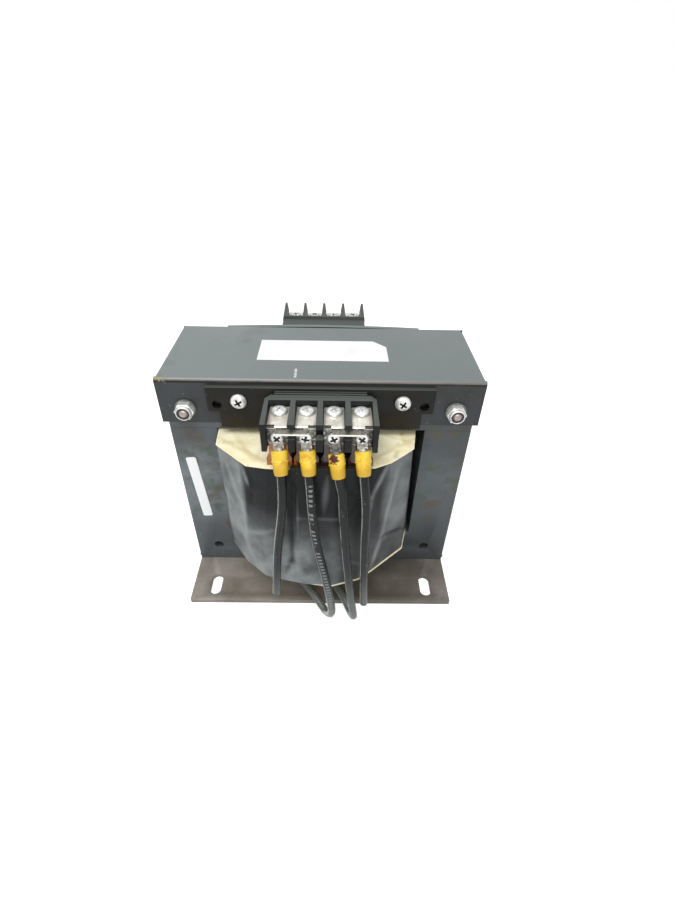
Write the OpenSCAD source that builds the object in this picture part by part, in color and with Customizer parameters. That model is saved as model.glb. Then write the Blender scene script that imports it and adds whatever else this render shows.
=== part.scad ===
// Laminated chassis transformer: an E-I core welded on two flat feet, one coil
// round its centre leg, a folded steel cover over the top yoke, and a moulded
// terminal block on a bracket at the front and at the rear.
// Millimetres. X runs across the core, the front faces -Y, and Z = 0 is the
// underside of the feet, with the origin in the middle of the stack.

/* [Core] */
// Width of the centre leg
tongue_w = 57.15; // [50:0.05:64]
// Width of each winding window
window_w = 30.6; // [25:0.05:34]
// Height of each winding window
window_h = 85.725; // [76:0.005:100]
// Width of each outer leg
leg_w = 26.55; // [24:0.05:34]
// Height of the top and bottom yokes
yoke_h = 28.575; // [26:0.005:32]
// Depth of the stack of laminations
stack_d = 63.5; // [50:0.5:76]
// Diameter of the four holes in the corners of the laminations
core_hole_d = 6.2; // [5.4:0.1:7.5]
// Distance of the lower holes from the core's sides
low_hole_side = 14.3; // [10:0.1:16]
// Distance of the lower holes from the core's bottom
low_hole_end = 14.2; // [10:0.1:18]
// Distance of the upper holes from the core's sides
top_hole_side = 11.8; // [10:0.1:16]
// Distance of the upper holes from the core's top
top_hole_end = 14; // [10:0.1:18]

/* [Feet] */
// Thickness of each foot plate
foot_t = 3.175; // [2:0.005:5]
// How far a foot reaches in front of the core
foot_reach = 35; // [30:1:42]
// How far a foot reaches under the core
foot_tuck = 26; // [18:1:30]
// Radius of the feet's corners
foot_corner_r = 0.8; // [0.4:0.1:3]
// Width of a mounting slot
slot_w = 7.14; // [5:0.02:9]
// Length of a mounting slot from end to end
slot_l = 15.9; // [11:0.1:20]
// Distance of the slots' centres from the outer edge of the foot
slot_inset = 12.7; // [11:0.1:16]
// Distance of the slots' centres from the ends of the foot
slot_side = 15; // [10:0.1:22]
// Length of each weld bead
bead_l = 20; // [12:1:26]
// Radius of each weld bead
bead_r = 1.8; // [1.2:0.1:2.5]

/* [Cover] */
// Thickness of the cover's sheet
cover_t = 1.8; // [1:0.1:2.5]
// Height of the cover's four skirts, with the top
skirt_h = 27.7; // [25:0.1:30]
// Air space between the core and the cover's top
cover_room = 2.45; // [1:0.05:4]
// Space between the core's sides and the cover's side skirts
cover_side_gap = 0.7; // [0.05:0.05:1.2]
// Outer radius of the cover's bends
bend_r = 2.4; // [2:0.1:3.5]
// Corner relief along X
relief_x = 4.2; // [3:0.1:7]
// Corner relief along Y
relief_y = 2.4; // [2.2:0.1:6]

/* [Studs] */
// Diameter of the core studs
stud_d = 4.83; // [4:0.01:5.2]
// Height of a lock nut's hexagon
nut_h = 3.5; // [3:0.1:5]
// Width of a lock nut across its flats
nut_af = 9.53; // [8.5:0.01:11]
// Height of a lock nut's round collar
collar_h = 2; // [1.5:0.1:3]
// Diameter of a lock nut's round collar
collar_d = 8.9; // [7.5:0.1:9.4]
// Outer diameter of the nylon ring in the collar
insert_d = 7; // [6:0.1:7.2]
// Height of the nylon ring
insert_h = 1.6; // [1:0.1:2]
// Diameter of the washers
washer_d = 11.4; // [11:0.1:14]
// Thickness of the washers
washer_t = 1; // [0.8:0.1:2]
// How far a stud stands out of its nut
stud_tip = 0.3; // [0:0.1:1.5]

/* [Brackets] */
// Thickness of the terminal brackets
bracket_t = 3.175; // [2:0.005:4]
// Distance of the brackets' top edge below the top of the cover
bracket_drop = 3.3; // [2.6:0.1:5]
// Height of the wide upper part of a bracket
bracket_upper_h = 15; // [13:0.1:20]
// Height of a whole bracket
bracket_h = 25; // [22:0.1:27]
// Space between a bracket's end and the stud washer
bracket_end_gap = 7.2; // [2:0.1:9]
// How much narrower the lower part is on each side
bracket_step = 6; // [4:0.1:10]
// Distance of the spare holes from the bracket's ends
spare_inset = 5.2; // [3.6:0.1:6]
// Diameter of the spare holes
spare_hole_d = 5; // [3:0.1:6]
// Distance from the spare holes to the bracket screws
screw_step = 12; // [9:0.1:14]
// Distance of the spare holes below the bracket's top edge
spare_drop = 10.5; // [9:0.1:13]
// Distance of the bracket screws below the bracket's top edge
screw_drop = 7.9; // [6:0.1:12]
// Diameter of the bracket screws
bracket_screw_d = 4.1; // [3:0.1:4.5]
// Diameter of the bracket screws' heads
bracket_head_d = 8.7; // [7:0.1:9.5]
// Height of the bracket screws' heads
bracket_head_h = 2.9; // [2:0.1:3.5]
// Width of the block's window in a bracket
socket_w = 40; // [30:1:46]
// Height of the block's window in a bracket
socket_h = 8; // [5:0.5:9]
// Distance of the window's centre below the bracket's top edge
socket_drop = 8.5; // [7.5:0.1:10]

/* [Coil] */
// Space between the coil and the left outer leg
coil_left_gap = 0.5; // [0.3:0.05:2]
// Space between the coil and the right outer leg
coil_right_gap = 2.5; // [0.5:0.1:5]
// Space between the coil's ends and the yokes
coil_end_gap = 0.9; // [0.3:0.1:3]
// How far the coil bulges out of the stack at its top
bulge_top = 33.3; // [30:0.1:37]
// How far the coil bulges out of the stack at its bottom
bulge_bottom = 45.5; // [38:0.1:48]
// Thickness of the paper on each end of the coil
paper_t = 0.6; // [0.3:0.1:1]
// How far the lower paper shows below the wrap
paper_lip = 0.5; // [0.2:0.1:1]
// Thickness of the outer wrap
wrap_t = 0.6; // [0.3:0.1:1.2]
// Wall of the tube that carries the windings
tube_t = 1.6; // [1:0.1:2.5]
// Build of the primary winding
primary_t = 11; // [8:0.5:12]
// Thickness of the insulation between the windings
barrier_t = 0.8; // [0.4:0.1:1.5]
// Free space between the core and the tube
tube_gap = 0.3; // [0.2:0.05:0.6]
// Free space between two layers of the coil
layer_gap = 0.15; // [0.1:0.05:0.4]

/* [Front block] */
// Distance between the poles of the front block
front_pitch = 14; // [13:0.1:16]
// Height of the front block
front_block_h = 16.5; // [15.5:0.1:19]
// Distance of its rim below the top edge of the bracket
front_rim_drop = 2; // [1.5:0.1:3.5]
// Thickness of its barriers at the front
front_wall = 3.4; // [2.8:0.1:3.8]
// Thickness of its barriers at the rear
front_wall_rear = 2.6; // [2:0.1:2.8]
// Depth of the rail along its rear
rail_d = 5; // [4:0.1:6]
// Width of the rail along its rear
rail_w = 48.4; // [44:0.1:54]
// Distance from the bracket to the pockets
pocket_y = 7.9; // [7:0.1:9]
// Distance from the bracket to the front face behind the terminals
face_y = 25.2; // [24:0.1:28]
// How far the barriers stand in front of that face
fin_reach = 4.6; // [4:0.1:6]
// Depth of the pockets below the rim
pocket_h = 4.8; // [4.2:0.1:5.5]
// Thickness of the terminal plates
plate_t = 0.8; // [0.6:0.1:1.2]
// Width of the terminal plates
plate_w = 10.2; // [8.5:0.1:10.4]
// Width of the tongue where a plate bends down
tongue_plate_w = 6.4; // [5:0.1:7]
// Distance from the bracket to the coil screws
coil_screw_y = 12.6; // [12.3:0.1:16]
// Diameter of the coil screws' heads
coil_head_d = 8.35; // [7:0.05:8.8]
// Height of the coil screws' heads
coil_head_h = 2; // [1.4:0.1:2.6]
// Distance of the wire screws below the rim
wire_screw_drop = 9.4; // [9:0.1:11.2]
// Diameter of the wire screws
wire_screw_d = 3.5; // [3:0.1:3.9]
// Diameter of the wire screws' heads
wire_head_d = 5.3; // [4.8:0.1:6]
// Height of the wire screws' heads
wire_head_h = 1.6; // [1.2:0.1:2]
// Thickness of the jumper links
link_t = 0.8; // [0.6:0.1:1.2]
// How far a link's shelf stands out over the wire screws
link_shelf = 4.4; // [3:0.1:4.6]
// How far a link reaches past the wire screws on each side
link_over = 1; // [0.6:0.1:1.8]

/* [Rear block] */
// Distance between the poles of the rear block
rear_pitch = 12.7; // [12:0.1:13.6]
// Height of the rear block below its rim
rear_block_h = 15; // [14:0.1:17]
// Distance of its rim below the top of the cover
rear_rim_drop = 1.3; // [0.6:0.1:2]
// Thickness of its barriers at the rim
rear_wall = 3.1; // [2.4:0.1:3.4]
// Thickness of its barriers at their tips
rear_tip = 1.3; // [1:0.1:2.3]
// Height of its barriers above the rim
rear_fin_h = 5.6; // [3:0.1:8]
// Distance from the bracket to its pockets
rear_pocket_y = 12.5; // [11:0.1:18]
// Depth of its pockets
rear_pocket_d = 12.4; // [10.5:0.1:14]
// Width of its terminal plates
rear_plate_w = 9; // [7:0.1:9.2]
// Diameter of its screws' heads
rear_head_d = 7; // [5:0.1:7.5]

/* [Ring terminals] */
// Diameter of the rings
ring_d = 6.4; // [5.8:0.1:6.8]
// Thickness of the ring terminals' metal
ring_t = 0.8; // [0.6:0.1:1]
// Outer diameter of the barrels
barrel_d = 4.6; // [4:0.1:4.8]
// Length of a sleeve
sleeve_l = 12.9; // [11:0.1:15]
// Width of a sleeve across its crimp
sleeve_w = 8.6; // [7.6:0.1:9.5]
// Thickness of a sleeve through its crimp
sleeve_crimp_t = 6.2; // [6:0.1:7]
// Diameter of a sleeve at its mouth
mouth_d = 7.2; // [6.4:0.1:8]
// Angle at which the ring terminals lean out
lean = 23.5; // [15:0.5:30]
// Diameter of the leads
lead_d = 4.8; // [4:0.1:5]

/* [Labels] */
// Width of the label on the cover
top_label_w = 74; // [50:1:90]
// Depth of the label on the cover
top_label_d = 25; // [15:1:35]
// Size of the corner torn off that label
torn_corner = 7.4; // [3:0.1:10]
// Width of the label on the left leg
side_label_w = 6; // [4:0.1:9]
// Length of the label on the left leg
side_label_l = 49.6; // [30:0.1:60]
// Thickness of the labels
label_t = 0.12; // [0.08:0.01:0.2]

/* [Hidden] */

$fn = 48;
eps = 0.01;

// Core, from its windows and legs
core_w = tongue_w + 2 * window_w + 2 * leg_w;
core_h = window_h + 2 * yoke_h;
core_top = foot_t + core_h;
window_z0 = foot_t + yoke_h;
window_z1 = window_z0 + window_h;
window_x0 = tongue_w / 2;
window_x1 = window_x0 + window_w;
low_hole_x = core_w / 2 - low_hole_side;
low_hole_z = foot_t + low_hole_end;
stud_x = core_w / 2 - top_hole_side;
stud_z = core_top - top_hole_end;

// Feet
foot_y = stack_d / 2 + foot_reach;
slot_x = core_w / 2 - slot_side;
slot_y = foot_y - slot_inset;

// Cover
cover_x = core_w / 2 + cover_side_gap + cover_t;
cover_y = stack_d / 2 + cover_t;
cover_top = core_top + cover_room + cover_t;

// Studs
stud_clear = 0.2;
washer_y = cover_y + washer_t;
nut_y = washer_y + nut_h + collar_h;

// Brackets
bracket_y = cover_y + bracket_t;
bracket_x = stud_x - washer_d / 2 - bracket_end_gap;
bracket_top = cover_top - bracket_drop;
spare_x = bracket_x - spare_inset;
screw_x = spare_x - screw_step;
spare_z = bracket_top - spare_drop;
screw_z = bracket_top - screw_drop;
socket_z = bracket_top - socket_drop;
fit = 0.1;

// Coil
coil_z0 = window_z0 + coil_end_gap;
coil_z1 = window_z1 - coil_end_gap;
wind_z0 = coil_z0 + paper_t;
wind_z1 = coil_z1 - paper_t;
coil_left = -window_x1 + coil_left_gap;
coil_right = window_x1 - coil_right_gap;
coil_mid = (coil_left + coil_right) / 2;
coil_half = (coil_right - coil_left) / 2;
square_top = 2.8;
square_bottom = 1.86;
outline_steps = 18;
loft_steps = 5;
tube_x = tongue_w / 2 + tube_gap;
tube_y = stack_d / 2 + tube_gap;
tube_corner = 0.8;
primary_in = tube_t + layer_gap;
primary_out = primary_in + primary_t;
barrier_in = primary_out + layer_gap;
barrier_out = barrier_in + barrier_t;
secondary_in = barrier_out + layer_gap;
secondary_skin = wrap_t + layer_gap;
end_squash = 1.35;

// Front block
poles = 4;
front_half = poles * front_pitch / 2 + 0.9;
front_rim_z = bracket_top - front_rim_drop;
rail_rise = 0.1;
ridge_rise = 0.6;
ridge_places = [0, 2.1];
ridge_t = 0.9;
fin_y = face_y + fin_reach;
chamfer_y = 6.2;
chamfer_x = 2.6;
bar_y = 2.7;
link_cut_top = 2.6;
link_cut_low = 9;
link_drop = 5.3;
eye_w = 6;
leg_y = face_y + plate_t;
link_y = leg_y + link_t;
ring_y = link_y + ring_t;
plate_front = 24;
eased_edge = 0.42;
leg_low = front_block_h - 1.6;
tongue_shift = (plate_w - tongue_plate_w) / 2;
jumper_side = [1, -1, 1, -1];
shoulder_drop = pocket_h + 0.3;
lead_cut_drop = 12.2;
strip_t = 1;
strip_w = 10;
strip_foot_w = 13;
strip_foot_h = 8;
strip_neck_h = 11;
strip_lean = 0.9;
strip_straight = 2.5;
strip_sink = 3;
coil_screw_d = 4.1;
screw_reach = 6;

// Rear block
rear_inset = 0.4;
rear_half = 2 * rear_pitch + rear_wall / 2 - rear_inset;
rear_rim_z = cover_top - rear_rim_drop;
rear_bulkhead_h = 2;
rear_bulkhead_t = 1.5;
rear_peak_l = 1.4;
rear_slope_l = 7.4;
rear_knee = 0.57;
rear_end_y = rear_pocket_y + rear_pocket_d + 0.6;
rear_plate_drop = 1.5;
rear_screw_y = rear_pocket_y + rear_pocket_d / 2;
rear_screw_d = 3.5;
rear_head_h = 2.2;
rear_strip_w = 5;
rear_strip_t = 0.8;

// Ring terminals: the swing of each to the side, and the length of its neck
swing = [4.5, 5, 7.5, 5];
neck_l = [5, 5, 6.9, 4.8];
neck_w = 5.4;
sleeve_start = 2.5;
barrel_start = 1.1;
barrel_end = 9.5;
crimp_l = 5.4;

// Routes of the leads, from the mouth of each sleeve onwards
lead_sides = 8;
route_1 = [
    [-19.2, -73, 108.5], [-19.4, -75.6, 99.5], [-20.5, -77.2, 89.5],
    [-22, -77.8, 79], [-23.3, -78, 68], [-24.3, -78, 57],
    [-25.1, -77.9, 46.5], [-25.9, -77.8, 36], [-26.5, -77.8, 27.8]
];
route_2 = [
    [-4.6, -73.2, 108.2], [-4, -76.2, 99.5], [-3.1, -78.6, 89.5],
    [-1.9, -80.2, 78.5], [-0.2, -81.2, 68], [1.8, -81.8, 57.5],
    [3.6, -82.2, 46.5], [5.2, -82.4, 35.5], [6.6, -82.4, 24.5],
    [7.3, -81.7, 14.5], [6.2, -78.6, 6.8], [3, -73.8, 2.9],
    [-1.4, -68.4, 5.9], [-6, -62.8, 7.4], [-11, -56.6, 8], [-15.6, -49.8, 8.6]
];
route_3 = [
    [11.9, -73.2, 106], [12.3, -76.2, 97.5], [13.2, -78.6, 87],
    [14.1, -80, 76], [15, -80.8, 65.5], [16, -81.4, 55],
    [17, -81.8, 44.5], [18.1, -82.2, 34], [19.3, -82.6, 23.5],
    [20.6, -82.7, 13.8], [21, -79.8, 6.2], [19.4, -74.6, 2.9],
    [16.2, -68.4, 5.8], [12.6, -62.4, 7.4], [8.4, -56, 8], [4.6, -49.4, 8.6]
];
route_4 = [
    [23.6, -73.2, 108], [24.4, -76, 98.5], [24.7, -77.8, 88],
    [24.8, -78.7, 77], [25.1, -79.2, 66], [25.5, -79.5, 55],
    [25.9, -79.7, 43], [26.4, -79.8, 31], [26.9, -79.8, 20.4]
];

// Labels
top_label_x = 0.5;
top_label_y = 0.8;
side_label_x = -76.3;
side_label_z = 71;
side_label_tilt = 3.9;
side_label_r = 1.2;

// ---- Shapes that several pieces share ----

// A slot that runs along Y, as a flat shape
module slot_shape(w, l) {
    square([w, l - w], center = true);
    for (s = [-1, 1]) translate([0, s * (l - w) / 2]) circle(d = w);
}

// A rectangle with round corners, centred on the origin
module round_rect(w, d, r) {
    square([w - 2 * r, d], center = true);
    square([w, d - 2 * r], center = true);
    for (x = [-1, 1], y = [-1, 1]) {
        translate([x * (w / 2 - r), y * (d / 2 - r)]) circle(r = r);
    }
}

// A rod along Y from y0 to y1
module y_rod(d, y0, y1) {
    translate([0, y0, 0]) rotate([-90, 0, 0]) cylinder(d = d, h = y1 - y0);
}

// Repeats a piece at the studs' two places
module at_studs() {
    for (s = [-1, 1]) translate([s * stud_x, 0, stud_z]) children();
}

// Repeats a piece at the front and, turned round, at the rear
module front_and_rear() {
    for (a = [0, 180]) rotate([0, 0, a]) children();
}

// Places a block's own frame on its bracket: y points outwards, z = 0 is the rim
module on_front() {
    translate([0, -bracket_y, front_rim_z]) rotate([0, 0, 180]) children();
}
module on_rear() {
    translate([0, bracket_y, rear_rim_z]) children();
}

// Places of a block's poles along X
function pole_x(i, pitch) = (i - (poles - 1) / 2) * pitch;

// A pan head on a shank, pointing up from z = 0, with a cross recess
module pan_screw(head_d, head_h, shank_d, shank_l) {
    recess = head_d * 0.52;
    blade = head_d * 0.13;
    difference() {
        union() {
            cylinder(d = head_d, h = head_h * 0.45);
            translate([0, 0, head_h * 0.45]) {
                cylinder(d1 = head_d, d2 = head_d * 0.72, h = head_h * 0.55);
            }
            translate([0, 0, -shank_l]) cylinder(d = shank_d, h = shank_l + eps);
        }
        translate([0, 0, head_h]) {
            cube([recess, blade, head_h], center = true);
            cube([blade, recess, head_h], center = true);
        }
    }
}

// ---- Core and feet ----

module foot() {
    depth = foot_reach + foot_tuck;
    linear_extrude(foot_t) difference() {
        translate([0, -foot_y + depth / 2]) round_rect(core_w, depth, foot_corner_r);
        for (s = [-1, 1]) translate([s * slot_x, -slot_y]) slot_shape(slot_w, slot_l);
    }
}

module front_foot() {
    color("#7a736a") foot();
}

module rear_foot() {
    color("#7a736a") rotate([0, 0, 180]) foot();
}

module weld_beads() {
    bead_y = stack_d / 2 - foot_tuck / 2;
    color("#5b5a58") for (sx = [-1, 1], sy = [-1, 1]) {
        translate([sx * core_w / 2, sy * bead_y, foot_t]) difference() {
            y_rod(2 * bead_r, -bead_l / 2, bead_l / 2);
            translate([-sx * bead_r, 0, 0]) cube([2 * bead_r, bead_l + 1, 3 * bead_r], center = true);
        }
    }
}

module core_profile_holes() {
    for (s = [-1, 1]) translate([s * low_hole_x, low_hole_z]) circle(d = core_hole_d);
    for (s = [-1, 1]) translate([s * stud_x, stud_z]) circle(d = core_hole_d);
}

module stack() {
    translate([0, stack_d / 2, 0]) rotate([90, 0, 0]) linear_extrude(stack_d) difference() {
        children();
        core_profile_holes();
    }
}

module e_laminations() {
    color("#4b4f52") stack() {
        translate([-core_w / 2, foot_t]) square([core_w, yoke_h]);
        for (x = [-core_w / 2, core_w / 2 - leg_w]) {
            translate([x, foot_t]) square([leg_w, yoke_h + window_h]);
        }
        translate([-tongue_w / 2, foot_t]) square([tongue_w, yoke_h + window_h]);
    }
}

module i_laminations() {
    color("#4b4f52") stack() translate([-core_w / 2, window_z1]) square([core_w, yoke_h]);
}

// ---- Cover ----

// An upside-down U of sheet, centred on the first axis, from 0 down to -h
module u_profile(half, h) {
    inner_r = max(bend_r - cover_t, 0.2);
    difference() {
        union() {
            translate([-half, -h]) square([2 * half, h - bend_r]);
            translate([-half + bend_r, -bend_r]) square([2 * (half - bend_r), bend_r]);
            for (s = [-1, 1]) translate([s * (half - bend_r), -bend_r]) circle(r = bend_r);
        }
        translate([-half + cover_t, -h - 1]) square([2 * (half - cover_t), h + 1 - cover_t - inner_r]);
        translate([-half + cover_t + inner_r, -h]) {
            square([2 * (half - cover_t - inner_r), h - cover_t]);
        }
        for (s = [-1, 1]) {
            translate([s * (half - cover_t - inner_r), -cover_t - inner_r]) circle(r = inner_r);
        }
    }
}

module top_cover() {
    long_x = 2 * (cover_x - relief_x);
    long_y = 2 * (cover_y - relief_y);
    color("#8b9092") difference() {
        translate([0, 0, cover_top]) {
            rotate([90, 0, 90]) translate([0, 0, -long_x / 2]) {
                linear_extrude(long_x) u_profile(cover_y, skirt_h);
            }
            rotate([90, 0, 0]) translate([0, 0, -long_y / 2]) {
                linear_extrude(long_y) u_profile(cover_x, skirt_h);
            }
        }
        at_studs() y_rod(stud_d + 2 * stud_clear, -cover_y - 1, cover_y + 1);
        for (s = [-1, 1]) translate([s * screw_x, 0, screw_z]) {
            y_rod(bracket_screw_d + fit, -cover_y - 1, cover_y + 1);
        }
        for (s = [-1, 1]) translate([s * spare_x, 0, spare_z]) {
            y_rod(spare_hole_d, -cover_y - 1, cover_y + 1);
        }
    }
}

// ---- Studs, washers and nuts ----

module core_studs() {
    color("#c9c7bf") at_studs() y_rod(stud_d, -nut_y - stud_tip, nut_y + stud_tip);
}

module stud_washers() {
    color("#b9bab6") front_and_rear() at_studs() difference() {
        y_rod(washer_d, -washer_y, -cover_y);
        y_rod(stud_d + stud_clear, -washer_y - 1, -cover_y + 1);
    }
}

module lock_nuts() {
    corner_d = nut_af / cos(30);
    color("#d0d1cc") front_and_rear() at_studs() translate([0, -washer_y, 0]) rotate([90, 0, 0]) {
        difference() {
            union() {
                cylinder(d = corner_d, h = nut_h, $fn = 6);
                translate([0, 0, nut_h - eps]) cylinder(d = collar_d, h = collar_h / 2 + eps);
                translate([0, 0, nut_h + collar_h / 2]) {
                    cylinder(d1 = collar_d, d2 = collar_d - collar_h / 2, h = collar_h / 2);
                }
            }
            translate([0, 0, -1]) cylinder(d = stud_d + fit, h = nut_h + collar_h + 2);
            translate([0, 0, nut_h + collar_h - insert_h]) cylinder(d = insert_d, h = insert_h + 1);
        }
    }
}

module nut_inserts() {
    color("#3f3a3a") front_and_rear() at_studs() difference() {
        y_rod(insert_d - fit, -nut_y + fit, -nut_y + insert_h);
        y_rod(stud_d + fit, -nut_y - 1, -nut_y + insert_h + 1);
    }
}

// ---- Brackets ----

module bracket() {
    low_h = bracket_h - bracket_upper_h;
    color("#3b3c3b") translate([0, -cover_y, 0]) rotate([90, 0, 0]) linear_extrude(bracket_t) difference() {
        translate([0, bracket_top]) {
            translate([-bracket_x, -bracket_upper_h]) square([2 * bracket_x, bracket_upper_h]);
            translate([-bracket_x + bracket_step, -bracket_h]) {
                square([2 * (bracket_x - bracket_step), low_h + 1]);
            }
        }
        for (s = [-1, 1]) translate([s * spare_x, spare_z]) circle(d = spare_hole_d);
        for (s = [-1, 1]) translate([s * screw_x, screw_z]) circle(d = bracket_screw_d + 2 * fit);
        translate([0, socket_z]) square([socket_w, socket_h], center = true);
    }
}

module front_bracket() {
    bracket();
}

module rear_bracket() {
    rotate([0, 0, 180]) bracket();
}

module bracket_screws() {
    shank = bracket_t + cover_t - fit;
    color("#c8cac6") front_and_rear() for (s = [-1, 1]) {
        translate([s * screw_x, -bracket_y, screw_z]) rotate([90, 45, 0]) {
            pan_screw(bracket_head_d, bracket_head_h, bracket_screw_d, shank);
        }
    }
}

// ---- Coil ----

// The coil's bulge and squareness at height fraction t, and a superellipse's term
function bulge_at(t) = bulge_bottom + (bulge_top - bulge_bottom) * t;
function square_at(t) = square_bottom + (square_top - square_bottom) * t;
function part(c, n) = sign(c) * pow(abs(c), 2 / n);

// A ring of points that runs once round the coil, drawn in by skin: straight
// beside the stack, and a rounded bulge in front of it and behind it
function coil_ring(t, skin) = let (
        n = square_at(t),
        front = [for (i = [0:outline_steps]) let (a = 180 * i / outline_steps) [
            coil_mid - (coil_half - skin) * part(cos(a), n),
            -stack_d / 2 - (bulge_at(t) - skin) * part(sin(a), n)
        ]]
    ) concat(front, [for (p = front) [2 * coil_mid - p[0], -p[1]]]);

// The solid inside that outline, from z0 to z1, as one closed loft
module coil_loft(z0, z1, skin) {
    count = 2 * (outline_steps + 1);
    rings = [
        for (k = [0:loft_steps])
            let (z = z0 + (z1 - z0) * k / loft_steps, t = (z - coil_z0) / (coil_z1 - coil_z0))
            for (p = coil_ring(t, skin)) [p[0], p[1], z]
    ];
    sides = [
        for (k = [0:loft_steps - 1], i = [0:count - 1])
            let (j = (i + 1) % count, a = k * count, b = (k + 1) * count)
            [a + i, b + i, b + j, a + j]
    ];
    bottom = [for (i = [0:count - 1]) i];
    top = [for (i = [count - 1:-1:0]) loft_steps * count + i];
    polyhedron(points = rings, faces = concat([bottom, top], sides));
}

// A tube round the centre leg, grown outwards by inner and outer, rounder outside
module leg_ring(inner, outer, z0, z1) {
    translate([0, 0, z0]) linear_extrude(z1 - z0) difference() {
        round_rect(2 * (tube_x + outer), 2 * (tube_y + end_squash * outer), tube_corner + outer);
        round_rect(2 * (tube_x + inner), 2 * (tube_y + end_squash * inner), tube_corner + inner);
    }
}

module coil_tube() {
    color("#a98f5f") leg_ring(0, tube_t, coil_z0, coil_z1);
}

module primary_winding() {
    color("#b4683a") leg_ring(primary_in, primary_out, wind_z0, wind_z1);
}

module winding_barrier() {
    color("#d9d2ae") leg_ring(barrier_in, barrier_out, wind_z0, wind_z1);
}

module leg_core(grow, z0, z1) {
    translate([0, 0, z0]) linear_extrude(z1 - z0) {
        round_rect(2 * (tube_x + grow), 2 * (tube_y + end_squash * grow), tube_corner + grow);
    }
}

module secondary_winding() {
    color("#a95f35") difference() {
        coil_loft(wind_z0, wind_z1, secondary_skin);
        leg_core(secondary_in, wind_z0 - 1, wind_z1 + 1);
        lead_out_slots();
    }
}

module coil_wrap() {
    color("#26282a") difference() {
        coil_loft(wind_z0, wind_z1, 0);
        coil_loft_through(wrap_t);
    }
}

// The wrap's inside, run a little past both ends so that the ends stay open
module coil_loft_through(skin) {
    coil_loft(wind_z0 - 1, wind_z1 + 1, skin);
}

module end_paper(z, t, skin) {
    translate([0, 0, z]) linear_extrude(paper_t) difference() {
        polygon(coil_ring(t, skin));
        round_rect(2 * (tube_x + tube_t + fit), 2 * (tube_y + end_squash * tube_t + fit), tube_corner);
    }
}

module upper_end_paper() {
    color("#e9e2b8") difference() {
        end_paper(wind_z1, 1, wrap_t);
        lead_out_slots();
    }
}

module lower_end_paper() {
    color("#e9e2b8") end_paper(coil_z0, 0, -paper_lip);
}

// ---- Front terminal block ----

// Flat outline of the front block, seen from above
function front_outline() = [
    [-front_half + chamfer_x, bar_y], [front_half - chamfer_x, bar_y],
    [front_half, chamfer_y], [front_half, fin_y], [-front_half, fin_y], [-front_half, chamfer_y]
];

// The open pocket of one pole, from its rear wall out past the fins
module pocket_shape() {
    rear = (front_pitch - front_wall_rear) / 2;
    front = (front_pitch - front_wall) / 2;
    polygon([[-rear, pocket_y], [rear, pocket_y], [front, fin_y + 1], [-front, fin_y + 1]]);
}

// Side view of the bay in front of the face, between the lower fins, with the
// edge eased under the bend of the terminal
module bay_side() {
    polygon([
        [face_y, -front_block_h - 1], [fin_y + 1, -front_block_h - 1], [fin_y + 1, 1],
        [face_y - eased_edge, 1], [face_y - eased_edge, -pocket_h], [face_y, -pocket_h - eased_edge]
    ]);
}

module front_block() {
    color("#34373a") on_front() difference() {
        union() {
            translate([0, 0, -front_block_h]) linear_extrude(front_block_h) polygon(front_outline());
            translate([-rail_w / 2, 0, -front_block_h]) cube([rail_w, rail_d, front_block_h + rail_rise]);
            for (y = ridge_places) translate([-rail_w / 2, y, -front_block_h]) {
                cube([rail_w, ridge_t, front_block_h + ridge_rise]);
            }
            translate([0, 0, socket_z - front_rim_z]) {
                cube([socket_w - 2 * fit, 2 * (bracket_t - fit), socket_h - 2 * fit], center = true);
            }
        }
        for (i = [0:poles - 1]) translate([pole_x(i, front_pitch), 0, 0]) {
            translate([0, 0, -pocket_h]) linear_extrude(pocket_h + 1) pocket_shape();
            translate([-(front_pitch - front_wall) / 2, 0, 0]) rotate([90, 0, 90]) {
                linear_extrude(front_pitch - front_wall) bay_side();
            }
            // room for the lead-out behind the foot of the terminal
            translate([-(strip_w + 2 * fit) / 2, face_y - strip_t - fit, -front_block_h - 1]) {
                cube([strip_w + 2 * fit, strip_t + fit + 1, front_block_h + 1 - lead_cut_drop]);
            }
            translate([0, coil_screw_y, -pocket_h - screw_reach]) {
                cylinder(d = coil_screw_d + fit, h = screw_reach + 1);
            }
            translate([0, 0, -wire_screw_drop]) y_rod(wire_screw_d + fit, face_y - screw_reach, face_y + 1);
        }
        // notches that let the links pass the inner barriers
        for (i = [1:poles - 1]) translate([(i - poles / 2) * front_pitch, 0, 0]) {
            translate([-front_wall, face_y, -link_cut_low]) {
                cube([2 * front_wall, fin_reach + 1, link_cut_low - link_cut_top]);
            }
        }
    }
}

// One terminal: a plate in the pocket, a tongue that bends down, and a leg
module terminal(side) {
    inner_r = 0.4;
    bend = inner_r + plate_t;
    tongue_x = side * tongue_shift;
    top_z = -pocket_h + plate_t;
    difference() {
        union() {
            translate([-plate_w / 2, pocket_y + fit, -pocket_h]) {
                cube([plate_w, plate_front - pocket_y - fit, plate_t]);
            }
            // tongue and its bend, swept across its width
            translate([tongue_x + tongue_plate_w / 2, 0, 0]) rotate([90, 0, -90]) {
                linear_extrude(tongue_plate_w) tongue_profile(bend, inner_r, top_z);
            }
            translate([0, leg_y, 0]) rotate([90, 0, 0]) linear_extrude(plate_t) leg_shape(tongue_x);
        }
        translate([0, coil_screw_y, -pocket_h - 1]) cylinder(d = coil_screw_d + fit, h = 3);
        translate([0, 0, -wire_screw_drop]) y_rod(wire_screw_d + fit, face_y - 1, leg_y + 1);
    }
}

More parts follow.
